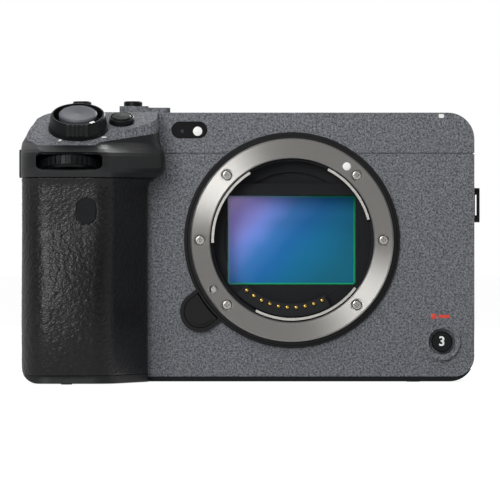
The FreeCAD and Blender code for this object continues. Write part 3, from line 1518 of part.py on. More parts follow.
# Swing-out monitor with its hinge arm
def monitor():
    front = BACK + s.monitor_gap
    back = front + s.monitor_thick
    axis_y = BACK + s.hinge_out
    arm = Solid("monitor_arm")
    arm.pad("XY", s.hinge_bottom, s.hinge_top, disc(s.hinge_x, axis_y, s.hinge_radius))
    arm.pad("XZ", axis_y - 2.0, axis_y + 2.0, rect(
        s.monitor_right, s.hinge_x, s.hinge_bottom + 8, s.hinge_top - 8))
    arm.pad("XY", s.hinge_bottom - 3, s.hinge_top + 3, disc(s.hinge_x, axis_y, s.hinge_pin))
    arm.done()
    case = Solid("monitor_case")
    case.pad("XZ", front, back, rect(-s.monitor_left, s.monitor_right, s.monitor_bottom, s.monitor_top, 2.5))
    case.cut("XZ", back - s.screen_thick, back + 1, rect(
        -s.monitor_left + s.screen_border, s.monitor_right - s.screen_border,
        s.monitor_bottom + s.screen_border, s.monitor_top - s.screen_border, 1.0))
    case.blend("X", 1.2, lambda p: p.y > back.now - 0.05 and (
        p.z > s.monitor_top.now - 0.1 or p.z < s.monitor_bottom.now + 0.1))
    case.done()
    glass = Solid("monitor_glass")
    glass.pad("XZ", back - s.screen_thick, back - 0.1, rect(
        -s.monitor_left + s.screen_border + 0.1, s.monitor_right - s.screen_border - 0.1,
        s.monitor_bottom + s.screen_border + 0.1, s.monitor_top - s.screen_border - 0.1, 0.9))
    glass.done()


def rear_controls():
    wheel = Solid("control_wheel")
    low = s.gap
    wheel.turn(outline(
        (s.wheel_inner, low), (s.wheel_radius, low), (s.wheel_radius, s.wheel_thick - 0.5),
        (s.wheel_radius - 0.5, s.wheel_thick), (s.wheel_inner, s.wheel_thick)))
    wheel.cut("XY", s.wheel_thick - 0.5, s.wheel_thick + 1, rect(-0.3, 0.3, s.wheel_radius - 1.4, s.wheel_radius + 1))
    wheel.repeat(24)
    wheel.done(x=-s.wheel_x, y=BACK, z=s.wheel_z, angle=-90)
    keys = {"wheel_button": (-s.wheel_x, s.wheel_z, s.key_radius, s.wheel_thick + 0.4)}
    for label, (x, z) in rear_keys().items():
        keys[label] = (x, z, s.small_key, s.key_proud)
    for label, (x, z, radius, proud) in keys.items():
        key = Solid(label)
        key.turn(outline((0, -s.wall - 0.6), (radius, -s.wall - 0.6), (radius, proud - 0.3),
                         (radius - 0.3, proud), (0, proud)))
        key.done(x=x, y=BACK, z=z, angle=-90)
    stick = Solid("joystick")
    stick.turn(outline(
        (0, -3.5), (1.4, -3.5), (1.4, 0.5), (s.stick_radius - 0.6, 0.7), (s.stick_radius - 0.3, 1.8),
        (s.stick_radius - 0.5, s.stick_high), (s.stick_radius - 1.6, s.stick_high - 0.3), (0, s.stick_high - 0.5)))
    stick.done(x=-s.stick_x, y=BACK, z=s.stick_z, angle=-90)


front_shell()
rear_shell()
base_plate()
grip()
battery()
battery_door()
trim_ring()
mount_ring()
mount_screws()
bayonet_springs()
contacts()
throat_baffle()
lens_release()
chassis()
shutter()
sensor()
cooling()
fan()
dials()
deck_controls()
top_buttons()
record_button()
small_fittings()
accessory_shoe()
right_side()
left_side()
monitor()
rear_controls()
doc.recompute()

troubles = []
for thing in doc.Objects:
    if "Invalid" in thing.State or "Error" in thing.State:
        troubles.append("%s: %s" % (thing.Label, thing.State))
for piece in pieces:
    shape = piece.Shape
    if shape.isNull() or not shape.isValid() or not shape.Solids:
        troubles.append("%s has no sound shape" % piece.Label)
if troubles:
    raise SystemExit("\n".join(troubles))

os.makedirs("parts", exist_ok=True)
for piece in pieces:
    piece.Shape.exportStep("parts/%s.step" % piece.Label)
print("%d pieces" % len(pieces))
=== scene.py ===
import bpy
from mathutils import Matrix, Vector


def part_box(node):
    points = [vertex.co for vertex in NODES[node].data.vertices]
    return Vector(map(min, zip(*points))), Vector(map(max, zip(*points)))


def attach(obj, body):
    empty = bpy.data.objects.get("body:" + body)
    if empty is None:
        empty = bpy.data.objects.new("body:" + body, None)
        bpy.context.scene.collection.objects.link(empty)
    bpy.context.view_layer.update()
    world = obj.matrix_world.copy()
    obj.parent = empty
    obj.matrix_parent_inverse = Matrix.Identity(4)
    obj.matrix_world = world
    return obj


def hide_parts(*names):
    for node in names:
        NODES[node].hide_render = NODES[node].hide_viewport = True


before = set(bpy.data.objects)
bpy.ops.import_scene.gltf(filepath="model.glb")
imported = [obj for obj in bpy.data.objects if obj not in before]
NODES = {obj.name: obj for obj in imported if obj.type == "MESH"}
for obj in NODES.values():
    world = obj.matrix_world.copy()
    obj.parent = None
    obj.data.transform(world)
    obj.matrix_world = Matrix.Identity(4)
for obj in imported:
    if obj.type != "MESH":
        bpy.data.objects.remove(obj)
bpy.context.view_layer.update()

import math

import bpy
from mathutils import Euler, Matrix, Vector

MM = 0.001

# Measures from the part's source, in millimetres: the height of the lens axis, the painted
# front, the flange face, and the circle on which the mount's screws stand.
LENS_Z = 39.8
FRONT = -17.0
FLANGE = -20.0
SCREW_CIRCLE = 25.8

# The sloped deck: its tilt, the middle of the ring lever on it, and the lever's height.
DECK_TILT = math.radians(26.3)
DECK_PLACE = (-59.7, -32.0, 70.8)
LEVER_HIGH = 4.5

# The covering's hide grain: the spacing of its pebbles and how far they lean.
PEBBLE = 1.05
GRAIN_LEAN = math.radians(38)

# The thickness of a printed mark, how far the window's marks stand out of the paint, and the
# heights of the pill-shaped window and of the record mark.
PRINT = 0.08
PROUD = 0.06
WINDOW_Z = 70.45
RECORD_MARK_Z = 18.3

# The floor, a hair below the undersides of the feet.
FLOOR_Z = -0.26

# Turns for what is shaped lying flat, face up.
FACE_FRONT = (math.radians(90), 0, 0)
FACE_DOWN = (math.radians(180), 0, 0)
ON_DECK = (DECK_TILT, 0, 0)


def mm(*values):
    """Millimetres as metres."""
    return tuple(value * MM for value in values)


# Selecting and shaping

def deselect():
    bpy.ops.object.select_all(action="DESELECT")


def only(piece):
    """Leave this piece alone selected and active, in object mode."""
    if bpy.context.mode != "OBJECT":
        bpy.ops.object.mode_set(mode="OBJECT")
    deselect()
    piece.select_set(True)
    bpy.context.view_layer.objects.active = piece


def named(name):
    """Name the primitive that was just added."""
    piece = bpy.context.active_object
    piece.name = name
    return piece


def clear_mesh(piece, kind):
    """Leave nothing selected in a piece's mesh, ready to pick its faces or edges."""
    only(piece)
    bpy.ops.object.mode_set(mode="EDIT")
    bpy.ops.mesh.select_mode(type=kind)
    bpy.ops.mesh.select_all(action="DESELECT")
    bpy.ops.object.mode_set(mode="OBJECT")


def open_faces(piece, test):
    """Open a piece for editing with just the faces selected that pass the test."""
    clear_mesh(piece, "FACE")
    for face in piece.data.polygons:
        face.select = test(face)
    bpy.ops.object.mode_set(mode="EDIT")


def open_edges(piece, test):
    """Open a piece for editing with just the edges selected that pass the test."""
    clear_mesh(piece, "EDGE")
    points = piece.data.vertices
    for edge in piece.data.edges:
        a, b = (points[i].co for i in edge.vertices)
        edge.select = test(a, b)
    bpy.ops.object.mode_set(mode="EDIT")


def close():
    bpy.ops.object.mode_set(mode="OBJECT")


def above(level):
    """The test for edges with both ends above a height in millimetres."""
    return lambda a, b: min(a.z, b.z) > level * MM


def along(axis, least):
    """The test for edges that run further than this many millimetres along an axis."""
    return lambda a, b: abs(getattr(a, axis) - getattr(b, axis)) > least * MM


def apply_modifier(piece, kind, **settings):
    """Add a modifier with its settings and apply it."""
    only(piece)
    made = piece.modifiers.new(kind.lower(), kind)
    for key, value in settings.items():
        setattr(made, key, value)
    bpy.ops.object.modifier_apply(modifier=made.name)


def settle(piece):
    """Put a piece's place, turn and size into its mesh."""
    only(piece)
    bpy.ops.object.transform_apply(location=True, rotation=True, scale=True)
    return piece


def set_down(piece, place, turn=(0, 0, 0)):
    """Stand a piece that was shaped at the origin at a place, turned."""
    piece.rotation_euler = turn
    piece.location = mm(*place)
    return settle(piece)


def copies(master, name, places, turn=(0, 0, 0)):
    """A copy of the master at each place, each with its own mesh, joined as one piece."""
    made = []
    for place in places:
        only(master)
        bpy.ops.object.duplicate()
        copy = bpy.context.active_object
        set_down(copy, place, turn)
        made.append(copy)
    deselect()
    for copy in made:
        copy.select_set(True)
    bpy.context.view_layer.objects.active = made[0]
    bpy.ops.object.join()
    bpy.data.objects.remove(master)
    return named(name)


def smooth(piece, degrees=35):
    only(piece)
    bpy.ops.object.shade_smooth_by_angle(angle=math.radians(degrees))
    return piece


def lens_place(radius, degrees, y):
    """A place on a circle about the lens axis, seen from the front."""
    turn = math.radians(degrees)
    return radius * math.cos(turn), y, LENS_Z + radius * math.sin(turn)


def on_deck(x, y, lift=0.0):
    """A point given on the sloped deck, from the middle of the ring lever."""
    spot = Euler((DECK_TILT, 0, 0)).to_matrix() @ Vector((x, y, lift))
    return tuple(spot + Vector(DECK_PLACE))


# Materials

def linear(code):
    """An sRGB hex colour as the linear values that shaders take."""
    parts = [int(code[i:i + 2], 16) / 255 for i in (1, 3, 5)]
    return [c / 12.92 if c <= 0.04045 else ((c + 0.055) / 1.055) ** 2.4 for c in parts] + [1.0]


def feed(tree, node, sockets):
    """Set a node's sockets to values, or link them to the sockets of other nodes."""
    for key, value in sockets.items():
        if isinstance(value, bpy.types.NodeSocket):
            tree.links.new(value, node.inputs[key])
        else:
            node.inputs[key].default_value = value


def add(tree, kind, sockets=None, **settings):
    """Add a node with its settings, its sockets set or linked."""
    node = tree.nodes.new(kind)
    for key, value in settings.items():
        setattr(node, key, value)
    feed(tree, node, sockets or {})
    return node


def grain(size):
    """The scale of a pattern whose spots are this many millimetres apart."""
    return 1.0 / (size * MM)


def begin(name):
    """A material with its shader and the object's own coordinates."""
    made = bpy.data.materials.new(name)
    made.use_nodes = True
    tree = made.node_tree
    shader = tree.nodes["Principled BSDF"]
    place = add(tree, "ShaderNodeTexCoord").outputs["Object"]
    return made, tree, shader, place


def fleck_enamel():
    # Baked enamel with aluminium flakes, sprayed over a die-cast magnesium shell: the grit of
    # the undercoat stands up as fine pimples, and the flakes glint as pale and dark specks.
    # The flakes are about 0.15 mm and are drawn at 0.36 and 0.55 mm to show.
    made, tree, shader, place = begin("grey_fleck_enamel")
    flake = add(tree, "ShaderNodeTexNoise", {
        "Vector": place, "Scale": grain(0.36), "Detail": 3.0, "Roughness": 0.7})
    clump = add(tree, "ShaderNodeTexNoise", {
        "Vector": place, "Scale": grain(0.55), "Detail": 2.0, "Roughness": 0.6})
    both = add(tree, "ShaderNodeMath", {0: flake.outputs["Fac"], 1: clump.outputs["Fac"]}, operation="ADD")
    tone = add(tree, "ShaderNodeMapRange", {
        "Value": both.outputs["Value"], "From Min": 0.78, "From Max": 1.26})
    base = add(tree, "ShaderNodeMix", {
        0: tone.outputs["Result"], 6: linear("#323438"), 7: linear("#7f8186")}, data_type="RGBA")
    gloss = add(tree, "ShaderNodeMapRange", {
        "Value": flake.outputs["Fac"], "To Min": 0.45, "To Max": 0.75})
    pimples = add(tree, "ShaderNodeBump", {
        "Height": both.outputs["Value"], "Distance": 0.08 * MM, "Strength": 0.9})
    feed(tree, shader, {
        "Base Color": base.outputs[2], "Metallic": 0.15, "Roughness": gloss.outputs["Result"],
        "Specular IOR Level": 0.3, "Normal": pimples.outputs["Normal"]})
    return made


def moulding(name, low, high, grit, depth, slick, dull, level):
    """A moulded plastic: two tones, the size and depth of its grain in millimetres, its
    roughness from slick to dull, and its specular level."""
    made, tree, shader, place = begin(name)
    spark = add(tree, "ShaderNodeTexNoise", {
        "Vector": place, "Scale": grain(grit), "Detail": 3.0, "Roughness": 0.6})
    handled = add(tree, "ShaderNodeTexNoise", {"Vector": place, "Scale": grain(9.0), "Detail": 3.0})
    shade = add(tree, "ShaderNodeMix", {
        0: spark.outputs["Fac"], 6: linear(low), 7: linear(high)}, data_type="RGBA")
    gloss = add(tree, "ShaderNodeMapRange", {
        "Value": handled.outputs["Fac"], "To Min": slick, "To Max": dull})
    relief = add(tree, "ShaderNodeBump", {
        "Height": spark.outputs["Fac"], "Distance": depth * MM, "Strength": 0.6})
    feed(tree, shader, {
        "Base Color": shade.outputs[2], "Roughness": gloss.outputs["Result"],
        "Specular IOR Level": level, "Normal": relief.outputs["Normal"]})
    return made


def shell_plastic():
    # Glass-filled polycarbonate, moulded in a spark-eroded tool: an even fine matt grain, with
    # broad patches that handling has made a little slicker. The grain is about 0.1 mm and is
    # drawn at 0.3 mm to show. The mouldings below are drawn coarser for the same reason.
    return moulding("matt_polycarbonate", "#0a0b0c", "#17181a", grit=0.3, depth=0.03,
                    slick=0.5, dull=0.68, level=0.16)


def head_coating():
    # Polycarbonate with a soft satin lacquer: nearly smooth, with slow bright rolls of light.
    return moulding("satin_lacquered_polycarbonate", "#0e0f11", "#161719", grit=0.22, depth=0.012,
                    slick=0.32, dull=0.46, level=0.5)


def control_plastic():
    # ABS keys and wheels, moulded and lightly tumbled: satin, with hardly any grain.
    return moulding("satin_abs", "#08090a", "#121315", grit=0.25, depth=0.01,
                    slick=0.3, dull=0.46, level=0.2)


def inner_plastic():
    # Black nylon, moulded, of the socket and contact blocks, the fan, the card reader and the
    # battery: dull, faintly mottled.
    return moulding("dull_nylon", "#101112", "#1b1c1e", grit=0.4, depth=0.02,
                    slick=0.55, dull=0.75, level=0.3)


def rubber():
    # Moulded thermoplastic rubber of the socket doors, the joystick and the feet: dull and
    # slightly grey.
    return moulding("moulded_rubber", "#151516", "#222223", grit=0.35, depth=0.02,
                    slick=0.65, dull=0.85, level=0.3)


def grip_hide():
    # Leather-grained polyurethane covering, pressed with a hide pattern: soft creased pebbles
    # about 1 mm across, leaning to one side. Its colour is painted lighter on the crests and
    # darker in the creases: a painted sheen and painted crease shade.
    # Its pores are about 0.1 mm and are drawn at 0.35 mm to show.
    made, tree, shader, place = begin("pressed_leather_covering")
    lean = add(tree, "ShaderNodeMapping", {
        "Vector": place, "Rotation": (0, GRAIN_LEAN, 0), "Scale": (1.0, 1.0, 1.6)})
    pebble = add(tree, "ShaderNodeTexVoronoi", {
        "Vector": lean.outputs["Vector"], "Scale": grain(PEBBLE)}, feature="DISTANCE_TO_EDGE")
    crest_and_crease_shade = add(tree, "ShaderNodeMapRange", {
        "Value": pebble.outputs["Distance"], "From Min": 0.02, "From Max": 0.3})
    pore = add(tree, "ShaderNodeTexNoise", {
        "Vector": place, "Scale": grain(0.35), "Detail": 3.0, "Roughness": 0.6})
    # Painted shade and sheen: the colour is dark in the creases and lighter on the crests.
    shade = add(tree, "ShaderNodeMix", {
        0: crest_and_crease_shade.outputs["Result"], 6: linear("#030304"), 7: linear("#0f0f11")}, data_type="RGBA")
    gloss = add(tree, "ShaderNodeMapRange", {"Value": pore.outputs["Fac"], "To Min": 0.33, "To Max": 0.43})
    folds = add(tree, "ShaderNodeBump", {
        "Height": crest_and_crease_shade.outputs["Result"], "Distance": 0.045 * MM, "Strength": 0.8})
    fine = add(tree, "ShaderNodeBump", {
        "Height": pore.outputs["Fac"], "Distance": 0.012 * MM, "Strength": 0.6,
        "Normal": folds.outputs["Normal"]})
    feed(tree, shader, {
        "Base Color": shade.outputs[2], "Roughness": gloss.outputs["Result"],
        "Specular IOR Level": 0.42, "Normal": fine.outputs["Normal"]})
    return made


def ring_black():
    # Anodised aluminium of the trim ring, the release and the lugs, turned or milled and then
    # bead blasted: satin black. The blasting is about 0.1 mm and is drawn at 0.25 mm to show.
    made, tree, shader, place = begin("black_anodised_aluminium")
    blast = add(tree, "ShaderNodeTexNoise", {"Vector": place, "Scale": grain(0.25), "Detail": 2.0})
    shade = add(tree, "ShaderNodeMix", {
        0: blast.outputs["Fac"], 6: linear("#0c0c0d"), 7: linear("#19191b")}, data_type="RGBA")
    gloss = add(tree, "ShaderNodeMapRange", {"Value": blast.outputs["Fac"], "To Min": 0.32, "To Max": 0.5})
    relief = add(tree, "ShaderNodeBump", {
        "Height": blast.outputs["Fac"], "Distance": 0.01 * MM, "Strength": 0.5})
    feed(tree, shader, {
        "Base Color": shade.outputs[2], "Metallic": 0.3, "Roughness": gloss.outputs["Result"],
        "Specular IOR Level": 0.3, "Normal": relief.outputs["Normal"]})
    return made


def ring_steel():
    # Stainless steel bayonet ring, turned on a lathe: fine grooves about the lens axis spread
    # the light outwards, so it gathers in two opposite sectors and the rest stays grey.
    # The grooves are a few hundredths of a millimetre apart and are drawn at 0.12 mm.
    made, tree, shader, place = begin("turned_stainless_steel")
    centred = add(tree, "ShaderNodeMapping", {"Vector": place, "Location": (0, 0, -LENS_Z * MM)})
    apart = add(tree, "ShaderNodeSeparateXYZ", {"Vector": centred.outputs["Vector"]})
    outwards = add(tree, "ShaderNodeCombineXYZ", {"X": apart.outputs["X"], "Z": apart.outputs["Z"]})
    radius = add(tree, "ShaderNodeVectorMath", {0: outwards.outputs["Vector"]}, operation="LENGTH")
    groove = add(tree, "ShaderNodeTexNoise", {
        "W": radius.outputs["Value"], "Scale": grain(0.12), "Detail": 3.0}, noise_dimensions="1D")
    shade = add(tree, "ShaderNodeMix", {
        0: groove.outputs["Fac"], 6: linear("#979592"), 7: linear("#bbb9b5")}, data_type="RGBA")
    relief = add(tree, "ShaderNodeBump", {
        "Height": groove.outputs["Fac"], "Distance": 0.004 * MM, "Strength": 0.4})
    feed(tree, shader, {
        "Base Color": shade.outputs[2], "Metallic": 1.0, "Roughness": 0.34, "Anisotropic": 0.93,
        "Tangent": outwards.outputs["Vector"], "Normal": relief.outputs["Normal"]})
    return made


def bright_metal(name, low, high, mark, slick, dull):
    """A clean metal: two tones, the spacing of its marks in millimetres, and its roughness
    from slick to dull."""
    made, tree, shader, place = begin(name)
    rub = add(tree, "ShaderNodeTexNoise", {"Vector": place, "Scale": grain(mark), "Detail": 3.0})
    shade = add(tree, "ShaderNodeMix", {
        0: rub.outputs["Fac"], 6: linear(low), 7: linear(high)}, data_type="RGBA")
    gloss = add(tree, "ShaderNodeMapRange", {"Value": rub.outputs["Fac"], "To Min": slick, "To Max": dull})
    relief = add(tree, "ShaderNodeBump", {
        "Height": rub.outputs["Fac"], "Distance": 0.005 * MM, "Strength": 0.4})
    feed(tree, shader, {
        "Base Color": shade.outputs[2], "Metallic": 1.0, "Roughness": gloss.outputs["Result"],
        "Normal": relief.outputs["Normal"]})
    return made


def spring_steel():
    # Stainless spring strip, rolled: brighter than the turned ring, with an even soft gloss.
    return bright_metal("rolled_spring_steel", "#b5b3ae", "#d9d7d2", mark=0.6, slick=0.42, dull=0.52)


def screw_steel():
    # Nickel-plated steel of the screws, the lock pin and the bushes: bright, with faint tool
    # marks, which are about 0.05 mm apart and are drawn at 0.2 mm to show.
    return bright_metal("nickel_plated_steel", "#b4b2ad", "#dcdad5", mark=0.2, slick=0.2, dull=0.34)


def contact_gold():
    # Gold-plated brass pins, turned: warm and bright, with faint marks.
    return bright_metal("gold_plated_brass", "#c79a3c", "#f0cf7c", mark=0.3, slick=0.18, dull=0.32)


def chamber_black():
    # Matt black paint, sprayed on the light trap inside the mount and on the shutter's frame:
    # swallows light, with a fine dusty tooth.
    return moulding("flocked_black_paint", "#090a0b", "#15161a", grit=0.3, depth=0.01,
                    slick=0.45, dull=0.65, level=0.2)


def cast_metal():
    # Die-cast magnesium, black passivated: dull metal with a cast skin.
    made, tree, shader, place = begin("passivated_cast_magnesium")
    skin = add(tree, "ShaderNodeTexNoise", {"Vector": place, "Scale": grain(0.5), "Detail": 3.0})
    shade = add(tree, "ShaderNodeMix", {
        0: skin.outputs["Fac"], 6: linear("#232427"), 7: linear("#38393c")}, data_type="RGBA")
    gloss = add(tree, "ShaderNodeMapRange", {"Value": skin.outputs["Fac"], "To Min": 0.45, "To Max": 0.65})
    relief = add(tree, "ShaderNodeBump", {
        "Height": skin.outputs["Fac"], "Distance": 0.03 * MM, "Strength": 0.5})
    feed(tree, shader, {
        "Base Color": shade.outputs[2], "Metallic": 0.6, "Roughness": gloss.outputs["Result"],
        "Normal": relief.outputs["Normal"]})
    return made


def blade_lacquer():
    # Shutter blades of thin aluminium with a dry black lacquer, rubbed a little along the run.
    made, tree, shader, place = begin("lacquered_blade_aluminium")
    rub = add(tree, "ShaderNodeTexNoise", {"Vector": place, "Scale": grain(0.8), "Detail": 2.0})
    shade = add(tree, "ShaderNodeMix", {
        0: rub.outputs["Fac"], 6: linear("#101011"), 7: linear("#1c1c1e")}, data_type="RGBA")
    gloss = add(tree, "ShaderNodeMapRange", {"Value": rub.outputs["Fac"], "To Min": 0.4, "To Max": 0.55})
    feed(tree, shader, {
        "Base Color": shade.outputs[2], "Metallic": 0.4, "Roughness": gloss.outputs["Result"]})
    return made


def coated_glass():
    # Filter glass over the sensor with an interference coating, laid down in vacuum, with a green
    # line where the coating ends. Its tints are the coating's own, laid out by place as a painted
    # reflection: violet at the upper grip side, through blue, to teal at the lower far side, with
    # the violet corner painted lighter where the throat shades it. The colours lie along a slant
    # that is mostly across and partly down, and the film is a little uneven.
    half_wide, half_high = 18.0, 12.5
    clear_wide, clear_high = 17.6, 12.15
    share_across, share_down = 0.72, 0.42
    uneven = 0.08
    made, tree, shader, place = begin("coated_glass_painted_reflection")
    apart = add(tree, "ShaderNodeSeparateXYZ", {"Vector": place})
    across = add(tree, "ShaderNodeMapRange", {
        "Value": apart.outputs["X"], "From Min": -half_wide * MM, "From Max": half_wide * MM,
        "To Max": share_across})
    down = add(tree, "ShaderNodeMapRange", {
        "Value": apart.outputs["Z"], "From Min": (LENS_Z + half_high) * MM,
        "From Max": (LENS_Z - half_high) * MM, "To Max": share_down})
    painted_reflection_slant = add(tree, "ShaderNodeMath", {0: across.outputs["Result"], 1: down.outputs["Result"]},
                operation="ADD")
    film = add(tree, "ShaderNodeTexNoise", {"Vector": place, "Scale": grain(11.0), "Detail": 2.0})
    run = add(tree, "ShaderNodeMath", {0: film.outputs["Fac"], 1: uneven, 2: painted_reflection_slant.outputs["Value"]},
              operation="MULTIPLY_ADD")
    middle = add(tree, "ShaderNodeValToRGB", {"Fac": run.outputs["Value"]})
    rim = add(tree, "ShaderNodeValToRGB", {"Fac": run.outputs["Value"]})
    # Painted reflection: the middle's stops run from a light violet, painted bright against the throat's
    # shade, through blue to teal.
    painted_reflection_tones = {
        middle: ((0.04, "#dcc2ff"), (0.2, "#b2a4ff"), (0.36, "#7794ec"), (0.48, "#3a78be"),
                 (0.61, "#1266a6"), (0.76, "#006792"), (1.0, "#005f78")),
        rim: ((0.04, "#d6d2ff"), (0.34, "#7fc0d8"), (0.54, "#18a070"), (1.0, "#0f9a66")),
    }
    for band, stops in painted_reflection_tones.items():
        band.color_ramp.elements[0].position = stops[0][0]
        band.color_ramp.elements[0].color = linear(stops[0][1])
        band.color_ramp.elements[1].position = stops[-1][0]
        band.color_ramp.elements[1].color = linear(stops[-1][1])
        for position, code in stops[1:-1]:
            band.color_ramp.elements.new(position).color = linear(code)
    wide = add(tree, "ShaderNodeMath", {0: apart.outputs["X"]}, operation="ABSOLUTE")
    level = add(tree, "ShaderNodeMath", {0: apart.outputs["Z"], 1: LENS_Z * MM}, operation="SUBTRACT")
    high = add(tree, "ShaderNodeMath", {0: level.outputs["Value"]}, operation="ABSOLUTE")
    past_side = add(tree, "ShaderNodeMath", {0: wide.outputs["Value"], 1: clear_wide * MM},
                    operation="GREATER_THAN")
    past_top = add(tree, "ShaderNodeMath", {0: high.outputs["Value"], 1: clear_high * MM},
                   operation="GREATER_THAN")
    edge = add(tree, "ShaderNodeMath", {0: past_side.outputs["Value"], 1: past_top.outputs["Value"]},
               operation="MAXIMUM")
    colour = add(tree, "ShaderNodeMix", {
        0: edge.outputs["Value"], 6: middle.outputs["Color"], 7: rim.outputs["Color"]}, data_type="RGBA")
    feed(tree, shader, {
        "Base Color": colour.outputs[2], "Roughness": 0.42, "Specular IOR Level": 0.2,
        "Coat Weight": 0.12, "Coat Roughness": 0.06})
    return made


def fin_aluminium():
    # Aluminium heat sink, extruded, with the long streaks of the die drawn up the fins.
    made, tree, shader, place = begin("extruded_aluminium")
    drawn = add(tree, "ShaderNodeMapping", {"Vector": place, "Scale": (1.0, 1.0, 0.04)})
    streak = add(tree, "ShaderNodeTexNoise", {
        "Vector": drawn.outputs["Vector"], "Scale": grain(0.3), "Detail": 3.0})
    shade = add(tree, "ShaderNodeMix", {
        0: streak.outputs["Fac"], 6: linear("#9b9ca0"), 7: linear("#bfc0c3")}, data_type="RGBA")
    gloss = add(tree, "ShaderNodeMapRange", {"Value": streak.outputs["Fac"], "To Min": 0.3, "To Max": 0.48})
    feed(tree, shader, {
        "Base Color": shade.outputs[2], "Metallic": 1.0, "Roughness": gloss.outputs["Result"]})
    return made


def board_laminate():
    # Glass-epoxy board, pressed, under a green solder mask, with the weave just showing.
    made, tree, shader, place = begin("solder_masked_laminate")
    weave = add(tree, "ShaderNodeTexChecker", {"Vector": place, "Scale": grain(0.6)})
    blot = add(tree, "ShaderNodeTexNoise", {"Vector": place, "Scale": grain(4.0), "Detail": 3.0})
    shade = add(tree, "ShaderNodeMix", {
        0: blot.outputs["Fac"], 6: linear("#0e4a2a"), 7: linear("#16603a")}, data_type="RGBA")
    gloss = add(tree, "ShaderNodeMapRange", {"Value": weave.outputs["Fac"], "To Min": 0.3, "To Max": 0.36})
    relief = add(tree, "ShaderNodeBump", {
        "Height": weave.outputs["Fac"], "Distance": 0.01 * MM, "Strength": 0.3})
    feed(tree, shader, {
        "Base Color": shade.outputs[2], "Roughness": gloss.outputs["Result"],
        "Normal": relief.outputs["Normal"]})
    return made


def button_crown():
    # Shutter button of aluminium, turned, with a bead-blasted and anodised blue-grey face. The
    # blasting is about 0.1 mm and is drawn at 0.2 mm to show.
    made, tree, shader, place = begin("grey_anodised_aluminium")
    blast = add(tree, "ShaderNodeTexNoise", {"Vector": place, "Scale": grain(0.2), "Detail": 2.0})
    shade = add(tree, "ShaderNodeMix", {
        0: blast.outputs["Fac"], 6: linear("#47494e"), 7: linear("#5a5c61")}, data_type="RGBA")
    gloss = add(tree, "ShaderNodeMapRange", {"Value": blast.outputs["Fac"], "To Min": 0.36, "To Max": 0.5})
    feed(tree, shader, {
        "Base Color": shade.outputs[2], "Metallic": 0.35, "Roughness": gloss.outputs["Result"],
        "Specular IOR Level": 0.4})
    return made


def smoked_window():
    # Tinted acrylic, cast and polished, of the lamp window and the monitor's cover: black, with
    # clean reflections and a faint haze.
    made, tree, shader, place = begin("smoked_acrylic")
    haze = add(tree, "ShaderNodeTexNoise", {"Vector": place, "Scale": grain(6.0), "Detail": 3.0})
    shade = add(tree, "ShaderNodeMix", {
        0: haze.outputs["Fac"], 6: linear("#050506"), 7: linear("#0b0b0e")}, data_type="RGBA")
    gloss = add(tree, "ShaderNodeMapRange", {"Value": haze.outputs["Fac"], "To Min": 0.06, "To Max": 0.16})
    feed(tree, shader, {
        "Base Color": shade.outputs[2], "Roughness": gloss.outputs["Result"],
        "Coat Weight": 0.25, "Coat Roughness": 0.03})
    return made


def print_ink(name, thin, full):
    # Pad-printed ink, a few hundredths of a millimetre thick, with a slightly broken face. Its
    # specks are about 0.05 mm and are drawn at 0.15 mm to show.
    made, tree, shader, place = begin(name)
    speck = add(tree, "ShaderNodeTexNoise", {"Vector": place, "Scale": grain(0.15), "Detail": 2.0})
    cover = add(tree, "ShaderNodeMapRange", {
        "Value": speck.outputs["Fac"], "From Min": 0.2, "From Max": 0.6})
    shade = add(tree, "ShaderNodeMix", {
        0: cover.outputs["Result"], 6: linear(thin), 7: linear(full)}, data_type="RGBA")
    gloss = add(tree, "ShaderNodeMapRange", {"Value": speck.outputs["Fac"], "To Min": 0.4, "To Max": 0.6})
    feed(tree, shader, {"Base Color": shade.outputs[2], "Roughness": gloss.outputs["Result"]})
    return made


PAINT = fleck_enamel()
SHELL = shell_plastic()
HEAD = head_coating()
CONTROL = control_plastic()
NYLON = inner_plastic()
RUBBER = rubber()
HIDE = grip_hide()
TRIM = ring_black()
RING = ring_steel()
SPRING = spring_steel()
SCREW = screw_steel()
GOLD = contact_gold()
CHAMBER = chamber_black()
CAST = cast_metal()
BLADE = blade_lacquer()
SENSOR = coated_glass()
FIN = fin_aluminium()
BOARD = board_laminate()
CROWN = button_crown()
WINDOW = smoked_window()
WHITE = print_ink("white_pad_print", "#c9c9c8", "#dededc")
RED = print_ink("red_pad_print", "#a83022", "#c8412f")

